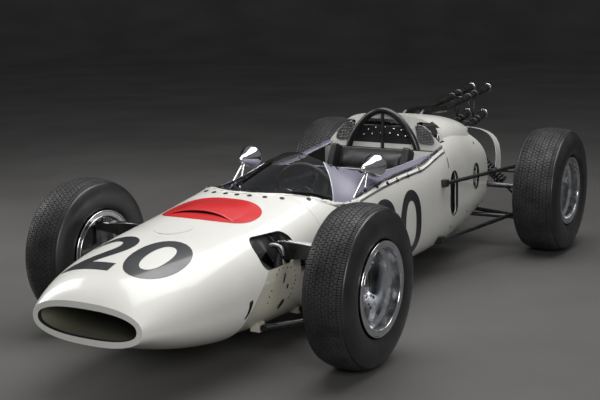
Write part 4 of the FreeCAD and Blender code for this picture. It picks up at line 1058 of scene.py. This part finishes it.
def make_dials():
    """Dials with plain marks and needles in the dash panel's bezels, and switches below them."""
    front, back = (corner.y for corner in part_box("dash_panel"))
    faces, marks, rims, needles = [], [], [], []
    axis = Vector((0, 1, 0))
    for x, radius, turn in ((0.0, 0.052, 2.2), (-0.12, 0.032, -1.4), (0.12, 0.032, 0.9)):
        middle = Vector((x, back, 0.500))
        rims.append(lathe([(radius - 0.001, -0.004), (radius + 0.002, 0.0), (radius + 0.001, 0.003),
                           (radius - 0.004, 0.003), (radius - 0.006, 0.0006)], middle, axis, 48))
        faces.append(lathe([(radius - 0.004, 0.0004), (0.0, 0.0005)], middle, axis, 48))
        for kind, reach, count, length, width, start, sweep, lift in (
                (marks, 0.78, 21, 0.14, 0.0012, -2.3, 4.6, 0.0009),
                (marks, 0.74, 6, 0.2, 0.0024, -2.3, 4.6, 0.001),
                (needles, 0.3, 1, 0.8, 0.0018, turn, 0.0, 0.0014)):
            size = (radius * length, width)
            kind.append(ring_marks(middle, axis, radius * reach, count, size, start, sweep, lift))
        pivot = radius * 0.1
        needles.append(lathe([(pivot, 0.0), (pivot, 0.0022), (0.0, 0.0026)], middle, axis, 16))
    join_meshes("dial_rims", rims, POLISHED)
    join_meshes("dial_faces", faces, DIAL_FACE, False)
    join_meshes("dial_marks", marks, DIAL_WHITE, False)
    join_meshes("dial_needles", needles, DIAL_WHITE, False)
    switches = []
    for x in (-0.20, -0.175, 0.175, 0.20, 0.225):
        switches.append(turned((x, front + 0.004, 0.455), axis, 14,
                               (9, 0), (9, 3), (4, 4), (3.5, 18), (0, 20)))
    join_meshes("dash_switches", switches, DARK_STEEL)


def make_screen_edge():
    """Rolled silver rim along the free upper edge of the screen, which also gives a painted
    highlight of the edge.
    """
    skin = Surface("windscreen")
    half = [(0.313, 1.590), (0.310, 1.46), (0.290, 1.24), (0.264, 1.02), (0.236, 0.89),
            (0.207, 0.788), (0.165, 0.725), (0.121, 0.687), (0.06, 0.665)]
    kept = []
    for x, back in smooth_pairs(mirrored(half, (0.0, 0.659)), 150):
        found = skin.below(x, back)
        if found and found[0].z > 0.54:
            point = found[0] + Vector((0, 0, 0.0004))
            if not kept or abs(point.z - kept[-1].z) < 0.02:
                kept.append(point)
    join_meshes("screen_rim_highlight", [tube(kept, 0.0026, 8)], RIM_ALLOY)


# Padded seat

SEAT_SLOPE = math.radians(65.6)
SEAT_SPLIT = 1.199
PAD_SHRINK = 0.008
PAD_SWELL = 0.024
PAD_VOXEL = 0.006
PAD_FRAMES = 20


def apply_modifiers(obj):
    """Replaces a mesh by what its modifiers make of it."""
    shown = obj.evaluated_get(bpy.context.evaluated_depsgraph_get())
    mesh = bpy.data.meshes.new_from_object(shown)
    obj.modifiers.clear()
    obj.data = mesh


class PadRoom:
    """The room that a cushion's solid holds, measured along its own slope."""

    def __init__(self, points, slope):
        self.along = Vector((0, math.cos(slope), math.sin(slope)))
        self.out = Vector((0, -self.along.z, self.along.y))
        runs = [point.dot(self.along) for point in points]
        lifts = [point.dot(self.out) for point in points]
        self.start, self.end = min(runs), max(runs)
        self.low, self.high = min(lifts), max(lifts)
        self.half = max(point.x for point in points)

    def place(self, x, run, lift):
        return Vector((x, 0, 0)) + self.along * run + self.out * lift

    def keep_inside(self, point):
        """The point, moved back into the room."""
        x = min(max(point.x, -self.half), self.half)
        run = min(max(point.dot(self.along), self.start), self.end)
        lift = min(max(point.dot(self.out), self.low), self.high + 0.006)
        return self.place(x, run, lift)


def pad_blank(name, room, flutes):
    """Slightly small starting shape of a pad, with wide flutes across it."""
    columns, rows = 36, 12 * flutes
    start, end = room.start + PAD_SHRINK, room.end - PAD_SHRINK
    half = room.half - PAD_SHRINK
    thickness = room.high - room.low
    top, bottom = [], []
    for j in range(rows + 1):
        v = j / rows
        run = start + (end - start) * v
        flute = abs(math.sin(math.pi * flutes * v)) ** 0.5
        for i in range(columns + 1):
            u = -1 + 2 * i / columns
            edge = (1 - abs(u) ** 6) ** 0.5 * (1 - abs(2 * v - 1) ** 12) ** 0.5
            base = room.low + 0.002
            top.append(room.place(half * u, run, base + thickness * (0.46 + 0.38 * flute) * edge))
            bottom.append(room.place(half * u, run, base))
    size = columns + 1
    faces = []
    for j in range(rows):
        for i in range(columns):
            a = j * size + i
            faces.append((a, a + 1, a + size + 1, a + size))
            a += len(top)
            faces.append((a, a + size, a + size + 1, a + 1))
    pad = mesh_object(name, top + bottom, faces, SEAT_LEATHER)
    bm = bmesh.new()
    bm.from_mesh(pad.data)
    bmesh.ops.remove_doubles(bm, verts=bm.verts[:], dist=1e-4)
    bm.to_mesh(pad.data)
    bm.free()
    return pad


def stuff_pad(pad, room, flutes):
    """Swells the pad as simulated cloth, held along its seams and where it rests on the shell."""
    remesh = pad.modifiers.new("even mesh", "REMESH")
    remesh.mode = "VOXEL"
    remesh.voxel_size = PAD_VOXEL
    apply_modifiers(pad)
    rest = [vertex.co.copy() for vertex in pad.data.vertices]
    span = (room.end - room.start - 2 * PAD_SHRINK) / flutes
    seams = []
    for index, point in enumerate(rest):
        run = (point.dot(room.along) - room.start - PAD_SHRINK) / span
        lift = point.dot(room.out) - room.low
        if lift < 0.005 or abs(run - round(run)) * span < 0.005:
            seams.append(index)
    pad.vertex_groups.new(name="held").add(seams, 1.0, "REPLACE")
    cloth = pad.modifiers.new("stuffing", "CLOTH")
    cloth.settings.use_pressure = True
    cloth.settings.uniform_pressure_force = 4.0
    cloth.settings.effector_weights.gravity = 0.0
    cloth.settings.vertex_group_mass = "held"
    for frame_number in range(1, PAD_FRAMES + 1):
        bpy.context.scene.frame_set(frame_number)
    apply_modifiers(pad)
    bpy.context.scene.frame_set(1)
    for vertex, start in zip(pad.data.vertices, rest):
        step = vertex.co - start
        if step.length > PAD_SWELL:
            step = step.normalized() * PAD_SWELL
        vertex.co = room.keep_inside(start + step)


STITCH_MARGIN = 0.022
STITCH_LENGTH = 0.006
STITCH_PITCH = 0.0095


def pad_stitches(pad, room, flutes):
    """Sewn stitches along the pad's channels."""
    skin = Surface(pad.data)
    span = (room.end - room.start - 2 * PAD_SHRINK) / flutes
    parts = []
    for seam in range(1, flutes):
        run = room.start + PAD_SHRINK + span * seam
        x = -room.half + STITCH_MARGIN
        while x < room.half - STITCH_MARGIN:
            ends = []
            for share, lift in ((0, 0.0009), (0.5, 0.0016), (1, 0.0009)):
                place = room.place(x + share * STITCH_LENGTH, run, room.high + 0.05)
                found = skin.cast(place, -room.out)
                if found:
                    ends.append(found[0] + found[1] * lift)
            if len(ends) == 3:
                parts.append(tube(ends, 0.0007, 5))
            x += STITCH_PITCH
    return parts


def make_seat():
    """Fluted base and back cushions of black leather."""
    points = [vertex.co.copy() for vertex in NODES["seat_cushions"].data.vertices]
    split = ahead(SEAT_SPLIT)
    stitches = []
    pads = []
    for name, slope, flutes, mine in (
            ("seat_base_pad", 0.0, 3, [p for p in points if p.y < split]),
            ("seat_back_pad", SEAT_SLOPE, 5, [p for p in points if p.y >= split])):
        room = PadRoom(mine, slope)
        pad = pad_blank(name, room, flutes)
        stuff_pad(pad, room, flutes)
        stitches += pad_stitches(pad, room, flutes)
        smooth = pad.modifiers.new("smooth leather", "SUBSURF")
        smooth.levels = smooth.render_levels = 1
        pad.data.polygons.foreach_set("use_smooth", [True] * len(pad.data.polygons))
        attach(pad)
        pads.append(pad)
    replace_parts(pads[0], "seat_cushions")
    join_meshes("seat_stitches", stitches, WHEEL_LEATHER)


# Wheels and suspension details

SPOKE_COUNT = 5
SPOKE_TURN = 16
SPOKE_HOLE_PLACE = 0.100
SPOKE_FACE_INSET = 0.012


def wheel_size(node):
    """Middle, half width, radius and side (1 left, -1 right) of a wheel's round node."""
    low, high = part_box(node)
    centre = (low + high) / 2
    return centre, (high.x - low.x) / 2, (high.z - low.z) / 2, 1 if centre.x > 0 else -1


FLANGE_BEAD = ((-6.5, 0), (-4.5, 2.2), (-2, 3.2), (0.8, 2.2), (1.2, -1), (-1, -3))
INNER_BEAD = ((-1.2, -1), (-0.6, 1.8), (1.2, 2.2), (2.4, 0.4))
VALVE_RADIUS = 0.158
VALVE_TURN = 0.9


def make_wheel_trim(corner):
    """Bead lips, hub bolts, centre nut and valve of one wheel."""
    centre, half, flange, side = wheel_size("rim_" + corner)
    lips = []
    for out in (1, -1):
        start = centre + Vector((side, 0, 0)) * half * out
        for ring, bead in ((flange, FLANGE_BEAD), (flange - 0.0245, INNER_BEAD)):
            profile = [(ring + reach / 1000, out * along / 1000) for reach, along in bead]
            lips.append(lathe(profile, start, (side, 0, 0), 96, False))
    hub_low, hub_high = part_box("hub_" + corner)
    tip = hub_high.x if side > 0 else hub_low.x
    axis = Vector((side, 0, 0))
    nut_base = Vector((tip - side * 0.0255, centre.y, centre.z))
    nuts = [turned(nut_base, axis, 48, (47.5, 0), (47.5, 3.2), (45.5, 4.6), (36, 4.6),
                   capped=False)]
    nuts += bolt_circle(nut_base + axis * 0.0040, side, 0.0418, 6,
                        (4.8, 0), (4.8, 4.2), (3.8, 5.2), (0, 5.4), start=0.3)
    radial = Vector((0, math.cos(VALVE_TURN), math.sin(VALVE_TURN)))
    valve_foot = centre + axis * (half - 0.012) + radial * VALVE_RADIUS
    dark = [turned(nut_base, axis, 6, (36.2, 4), (36.8, 6), (36.8, 19.5), (34.5, 22.5),
                   (26.2, 23.5), (25, 26.2), (0, 26.8)),
            turned(valve_foot, axis * 0.75 - radial * 0.5, 12, (5.2, 0), (4.8, 4), (3.2, 7),
                   (3, 26), (4.2, 26.5), (4.2, 34), (3, 36), (0, 36.2))]
    body = "wheel_" + corner
    join_meshes("bead_lips_" + corner, lips, POLISHED, body=body)
    join_meshes("hub_nuts_" + corner, nuts, POLISHED, False, body)
    join_meshes("centre_nut_" + corner, dark, DARK_STEEL, False, body)


def make_spoke_bosses(corner):
    """Raised ring round the hole of each spoke and two bolts at its outer end."""
    centre, _, _, side = wheel_size("rim_" + corner)
    axis = Vector((side, 0, 0))
    face = Vector((centre.x - side * SPOKE_FACE_INSET, centre.y, centre.z))
    rings, bolts = [], []
    for index in range(SPOKE_COUNT):
        angle = math.radians(SPOKE_TURN + 360 / SPOKE_COUNT * index)
        radial = Vector((0, -math.sin(angle), math.cos(angle)))
        across = axis.cross(radial)
        rings.append(turned(face + radial * SPOKE_HOLE_PLACE, axis, 24, (14.5, 0), (14.5, 1.6),
                            (13, 2.6), (10.4, 2), (10, -4), capped=False))
        for offset in (-0.019, 0.019):
            bolts.append(turned(face + radial * 0.132 + across * offset, axis, 6, (6.2, 0),
                                (6.2, 1.2), (4.6, 1.4), (4.6, 5.2), (3.6, 6), (0, 6.2)))
    body = "wheel_" + corner
    join_meshes("spoke_rings_" + corner, rings, POLISHED, body=body)
    join_meshes("spoke_bolts_" + corner, bolts, DARK_STEEL, False, body)


PLATE_HOLES = (("slot", -0.036, 0.325, 0.0055, 0.021, 0.35),
               ("notch", -0.014, 0.287, 0.006, 0.010, 0.35),
               ("oval", -0.055, 0.223, 0.011, 0.024, 0.9))


def make_bulkhead_rivets():
    """Rivet row on the beige side plates, with their slots and oval hole drawn as black film of
    painted shade.
    """
    skin = Surface("front_bulkhead")
    row = [(-0.086, 0.350), (-0.067, 0.364), (-0.040, 0.366), (-0.011, 0.362), (0.016, 0.358),
           (0.040, 0.340), (0.046, 0.318), (0.044, 0.299), (0.034, 0.287), (0.022, 0.270),
           (0.012, 0.250), (-0.004, 0.238), (-0.125, 0.292), (-0.140, 0.272), (-0.150, 0.250)]
    rivets = []
    for side, word in SIDES:
        for found in filter(None, [skin.beside(side, back, height) for back, height in row]):
            rivets.append(rivet(*found, 0.0036))
        # Painted shade: each hole is a dark film on the plate.
        for name, back, height, half_u, half_v, lean in PLATE_HOLES:
            cos, sin = math.cos(lean), math.sin(lean)
            outline = [(back + u * cos + v * sin, height + v * cos - u * sin)
                       for u, v in rounded_outline(half_u, half_v, 2.6, 28)]
            laid_on("plate_%s_%s" % (name, word), flat_shape(outline), from_side(side), COCKPIT_BLACK_AND_PAINTED_SHADE,
                    lift=PAINT_LIFT, surface=skin)
    join_meshes("plate_rivets", rivets, DARK_STEEL)


# Outline of the painted shade behind each rocker, as (distance behind the front axle, height).
ROCKER_SHADE_OUTLINE = [(-0.200, 0.460), (-0.180, 0.430), (-0.134, 0.412), (-0.100, 0.394),
                 (-0.062, 0.389), (-0.030, 0.396), (0.000, 0.404), (0.045, 0.403), (0.090, 0.398),
                 (0.150, 0.398), (0.150, 0.530), (-0.200, 0.530)]


def make_rocker_shade_film():
    """Painted shade: black film on the plates behind the rockers, where the rocker slot lies in
    shade, with the grey pipe elbow in front of it.
    """
    skin = Surface("front_bulkhead")
    elbow = [(0.300, -0.050, 0.452), (0.318, -0.046, 0.456), (0.345, -0.040, 0.449),
             (0.353, -0.037, 0.430), (0.353, -0.036, 0.415)]
    for side, word in SIDES:
        laid_on("rocker_shade_" + word, flat_shape(ROCKER_SHADE_OUTLINE), from_side(side), COCKPIT_BLACK_AND_PAINTED_SHADE,
                lift=PAINT_LIFT, surface=skin)
    elbows = [smooth_pipe(side, elbow, 24, 0.0085, 14) for side, _ in SIDES]
    join_meshes("brake_elbows", elbows, WIRE)


CORNER_SLOPE = 0.18
COWL_END = 0.254


def make_cowl_corners():
    """Panels that close the corners between the cowl, the tub and the screen's foot."""
    outline = [(0.188, 0.258), (0.288, 0.258), (0.288, 0.356), (0.275, 0.350), (0.245, 0.322),
               (0.210, 0.296), (0.192, 0.284)]
    for side, word in SIDES:
        mesh = flat_shape([(side * x, back) for x, back in outline])
        cut_into_cells(mesh, 0.008)
        for vertex in mesh.vertices:
            x, back = vertex.co.x, vertex.co.y
            height = BODY_SKIN.below(x, min(back, COWL_END))[0].z
            vertex.co = (x, ahead(back), height + max(0,
                                                      back - COWL_END) * CORNER_SLOPE + PAINT_LIFT)
        mesh.update()
        if sum(poly.normal.z for poly in mesh.polygons) < 0:
            mesh.flip_normals()
        attach(show("cowl_corner_" + word, mesh, WHITE_PAINT))


def make_suspension_trim():
    """Pivot bolts on the rockers, lock nuts on the rods and polished brake pipes at the front."""
    bolts, pipes = [], []
    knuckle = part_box("knuckle_left")[0].x
    pipe = [(0.300, -0.028, 0.452), (0.335, -0.034, 0.470), (0.385, -0.034, 0.472),
            (0.450, -0.031, 0.468), (0.520, -0.029, 0.462), (0.565, -0.027, 0.458)]
    for side in (1, -1):
        for face in (-1, 1):
            y = ahead(0) + face * 0.0222
            bolts.append(turned((side * 0.262, y, 0.425), (0, face, 0), 6,
                                (19, 0), (19, 3), (13, 3.5), (13, 10), (11, 12), (0, 12.5)))
            bolts.append(turned((side * 0.186, y, 0.407), (0, face, 0), 6,
                                (12, 0), (12, 6), (10, 8), (0, 8.4)))
        bolts.append(turned((side * (knuckle + 0.012), ahead(0), 0.4625), (0, 0, 1), 6,
                            (14, 0), (14, 4), (9, 5), (9, 13), (7, 14.5), (0, 15)))
        pipes.append(smooth_pipe(side, pipe, 40, 0.0032, 8))
    join_meshes("rocker_bolts", bolts, DARK_STEEL, False)
    join_meshes("front_brake_pipes", pipes, POLISHED)


# Engine and tail details

BANK_LEAN = math.radians(30)
ENGINE_MIDDLE = Vector((0, ahead(1.895), 0.300))
TRUMPET_STEP = 0.074


def bank_place(bank, x, across, up):
    """Place on a cylinder bank: bank is -1 for the front one and 1 for the rear one."""
    lean = -BANK_LEAN * bank
    return ENGINE_MIDDLE + Vector((x, across * math.cos(lean) - up * math.sin(lean),
                                   across * math.sin(lean) + up * math.cos(lean)))


def make_engine_trim():
    """Trumpet lips, fuel nozzles and pipes, cam cover bolts and plug caps on both banks."""
    lips, nozzles, bolts, caps = [], [], [], []
    for bank in (-1, 1):
        lean = -BANK_LEAN * bank
        up = Vector((0, -math.sin(lean), math.cos(lean)))
        across = Vector((0, math.cos(lean), math.sin(lean)))
        lean_out = (across * 0.8 + up * 0.6).normalized()
        rail = []
        for index in range(6):
            x = (index - 2.5) * TRUMPET_STEP
            lips.append(turned(bank_place(bank, x, 0, 0.396), up, 28, (22.5, -4), (22.8, 0),
                               (24.5, 2.4), (27.2, 3), (29.2, 1.2), (29.2, -1.2), (27.2, -2.8),
                               (25.2, -3)))
            foot = bank_place(bank, x, 0.0195, 0.330)
            nozzles.append(turned(foot, lean_out, 8, (5.2, 0), (5.2, 8), (3.8, 9), (3.8, 20),
                                  (5.5, 20.5), (5.5, 26.5), (3, 28), (0, 28.2)))
            tip = foot + lean_out * 0.028
            rail.append(bank_place(bank, x, 0.052, 0.318))
            run = [tip, tip + lean_out * 0.010, (tip + rail[-1]) / 2 + across * 0.010, rail[-1]]
            nozzles.append(tube(smooth_line(run, 14), 0.0017, 6))
            for offset in (-0.046, 0.046):
                for shift in (-0.018, 0.018):
                    bolts.append(turned(bank_place(bank, x + shift, offset, 0.3003), up, 6,
                                        (5.8, 0), (5.8, 1.4), (4.2, 1.6), (4.2, 6.2), (3, 7.8),
                                        (0, 8)))
            for height in (0.215, 0.255):
                caps.append(turned(bank_place(bank, x, bank * 0.0583, height), across * bank, 12,
                                   (9.8, 0), (9.8, 7), (6.6, 10), (6, 22), (4.5, 26), (0, 27)))
        for start, end in zip(rail, rail[1:]):
            nozzles.append(tube([start, (start + end) / 2, end], 0.0036, 8))
    join_meshes("trumpet_lips", lips, POLISHED)
    join_meshes("fuel_nozzles", nozzles, BRASS)
    join_meshes("cam_cover_bolts", bolts, POLISHED, False)
    join_meshes("plug_caps", caps, HOSE)


PIPE_SIDES = (-0.052, 0.052)
UPPER_PIPE = ((2.410, 0.774), (2.960, 0.832))
LOWER_PIPE = ((2.610, 0.615), (2.910, 0.677))
CLAMP_SHARES = (0.42, 0.60)
STAY_RADIUS = 0.0042


def along_pipe(pipe, x, share):
    """Place on the middle line of a tail pipe."""
    (back, height), (end_back, end_height) = pipe
    return Vector((x, ahead(back + (end_back - back) * share),
                   height + (end_height - height) * share))


def make_exhaust_trim():
    """Rolled tips, stays and clamps of the tail pipes."""
    tips, stays = [], []
    for x in PIPE_SIDES:
        for pipe in (UPPER_PIPE, LOWER_PIPE):
            end = along_pipe(pipe, x, 1)
            axis = (end - along_pipe(pipe, x, 0)).normalized()
            tips.append(turned(end, axis, 36, (23.5, -5), (23.5, -1), (25.2, 0), (27.5, -1.2),
                               (27.8, -4), (26.2, -6.2)))
            for share in CLAMP_SHARES:
                inner = 0.018 + 0.008 * share / 0.95 - 0.0005
                outer = inner + 0.0027
                stays.append(lathe([(inner, -0.006), (outer, -0.006), (outer, 0.006),
                                    (inner, 0.006)],
                                   along_pipe(pipe, x, share), axis, 28))
        lower = along_pipe(LOWER_PIPE, x, CLAMP_SHARES[0]) + Vector((0, 0, 0.021))
        for share, drop in zip(CLAMP_SHARES, (0.021, 0.022)):
            upper = along_pipe(UPPER_PIPE, x, share) - Vector((0, 0, drop))
            stays.append(tube([upper, (upper + lower) / 2, lower], STAY_RADIUS, 8))
    for pipe in (UPPER_PIPE, LOWER_PIPE):
        line = [along_pipe(pipe, x, CLAMP_SHARES[0]) for x in (-0.033, 0, 0.033)]
        stays.append(tube(line, STAY_RADIUS, 8))
    join_meshes("exhaust_tips", tips, POLISHED)
    join_meshes("exhaust_stays", stays, DARK_STEEL)


def make_gearbox_trim():
    """Ribs and bolt rows of the gearbox, bolt circles on its sides, and bolted shaft flanges."""
    axle = node_middle("hub_rear_left")
    ribs, bolts = [], []
    for height in (0.24, 0.28, 0.32, 0.36, 0.40, 0.44):
        for side in (1, -1):
            line = [(side * x, axle.y + back, height)
                    for x, back in ((0.1205, -0.15), (0.1225, -0.06), (0.1225, 0.10),
                                    (0.1205, 0.165))]
            ribs.append(tube(line, 0.0042, 6))
    for u, v in rounded_outline(0.102, 0.112, 5.0, 16):
        bolts.append(turned((u, axle.y + 0.190, 0.335 + v), (0, 1, 0), 6,
                            (7.5, 0), (7.5, 1.6), (5.2, 1.8), (5.2, 8.5), (4, 9.8), (0, 10)))
    for side in (1, -1):
        bolts += bolt_circle(Vector((side * 0.1602, axle.y, axle.z)), side, 0.051, 8,
                             (6, 0), (6, 5), (4.5, 6.5), (0, 6.7))
    join_meshes("gearbox_ribs", ribs, CAST_GEARBOX)
    join_meshes("gearbox_bolts", bolts, POLISHED, False)
    for side, word in SIDES:
        flange = bolt_circle(Vector((side * 0.176, axle.y, axle.z)), side, 0.036, 6,
                             (5.5, 0), (5.5, 5), (4, 6.4), (0, 6.6))
        join_meshes("shaft_bolts_" + word, flange, POLISHED, False,
                    "wheel_rear_" + word)


COVER_FASTENERS = ((1.64, 0.665), (1.625, 0.42), (1.63, 0.22), (1.90, 0.255), (2.105, 0.60))


def make_cover_fasteners():
    """Small dark fasteners that hold the engine cover along its seam and foot."""
    skin = Surface("engine_cover")
    founds = [skin.beside(side, *place) for side in (1, -1) for place in COVER_FASTENERS]
    row_of_fasteners("cover_fasteners", founds, 0.0072, DARK_STEEL)


# Stage, light and camera

def make_stage():
    floor_mat = new_material("dark studio floor", 0.6)
    mottle(floor_mat, (0.085, 0.082, 0.078), (0.115, 0.112, 0.108), 0.8, 6.0)
    verts, faces = [], []
    steps = 24
    depth, rise, bend = 26.0, 16.0, 8.0
    line = [(-depth, 0.0), (depth - bend, 0.0)]
    for index in range(1, steps + 1):
        angle = math.pi / 2 * index / steps
        line.append((depth - bend + bend * math.sin(angle), bend - bend * math.cos(angle)))
    line.append((depth, rise))
    for y, z in line:
        verts += [(-depth, y, z), (depth, y, z)]
    for index in range(len(line) - 1):
        faces.append((2 * index, 2 * index + 1, 2 * index + 3, 2 * index + 2))
    floor = mesh_object("studio_floor", verts, faces, floor_mat)
    floor.location.z = -0.0005
    floor.rotation_euler.z = math.radians(30)


def area_light(name, place, target, size, power, colour=(1, 1, 1)):
    data = bpy.data.lights.new(name, "AREA")
    data.shape = "RECTANGLE"
    data.size, data.size_y = size
    data.energy = power
    data.color = colour
    lamp = bpy.data.objects.new(name, data)
    lamp.location = place
    lamp.rotation_euler = (Vector(target) - Vector(place)).to_track_quat("-Z", "Y").to_euler()
    bpy.context.scene.collection.objects.link(lamp)


def make_lights():
    area_light("overhead softbox", (0.2, 0.2, 4.2), (0, 0, 0.3), (3.2, 5.0), 205)
    area_light("front left softbox", (3.6, -4.6, 2.6), (0.3, -0.6, 0.4), (2.6, 1.8), 120)
    area_light("far side softbox", (-4.2, -1.2, 2.4), (0, 0, 0.4), (1.6, 3.2), 75)
    world = bpy.data.worlds.new("studio air")
    world.use_nodes = True
    background = world.node_tree.nodes["Background"]
    background.inputs["Color"].default_value = (0.9, 0.92, 0.95, 1)
    background.inputs["Strength"].default_value = 0.16
    bpy.context.scene.world = world


CAMERA_PLACE = Vector((2.574, -4.776, 1.427))
CAMERA_YAW = math.radians(30.314)
CAMERA_PITCH = math.radians(10.469)
CAMERA_ROLL = math.radians(-0.704)
CAMERA_LENS_MM = 67.12


def make_camera():
    data = bpy.data.cameras.new("photo camera")
    data.lens = CAMERA_LENS_MM
    data.sensor_width = 36.0
    data.clip_end = 60.0
    camera = bpy.data.objects.new("photo camera", data)
    reach = math.cos(CAMERA_PITCH)
    forward = Vector((-math.sin(CAMERA_YAW) * reach, math.cos(CAMERA_YAW) * reach,
                      -math.sin(CAMERA_PITCH)))
    level = forward.cross(Vector((0, 0, 1))).normalized()
    upward = level.cross(forward)
    right = level * math.cos(CAMERA_ROLL) + upward * math.sin(CAMERA_ROLL)
    top = upward * math.cos(CAMERA_ROLL) - level * math.sin(CAMERA_ROLL)
    turn = Matrix((right, top, -forward)).transposed()
    camera.matrix_world = Matrix.Translation(CAMERA_PLACE) @ turn.to_4x4()
    bpy.context.scene.collection.objects.link(camera)
    bpy.context.scene.camera = camera


dress_nodes()
paint_inside()
paint_wheels()
paint_trim()
for corner in CORNERS:
    make_tyre(corner)
    make_wheel_trim(corner)
    make_spoke_bosses(corner)
make_numbers()
make_disc()
make_blister()
make_nose_cover()
make_side_marks()
make_screen_foot()
make_side_screens()
make_screen_edge()
make_cockpit_fasteners()
make_firewall()
make_grilles()
make_mirror_glass()
make_dials()
make_seat()
make_bulkhead_rivets()
make_rocker_shade_film()
make_cowl_corners()
make_window_shade_rims()
make_suspension_trim()
make_engine_trim()
make_exhaust_trim()
make_gearbox_trim()
make_cover_fasteners()
make_stage()
make_lights()
make_camera()
bpy.context.scene.view_settings.view_transform = "Standard"
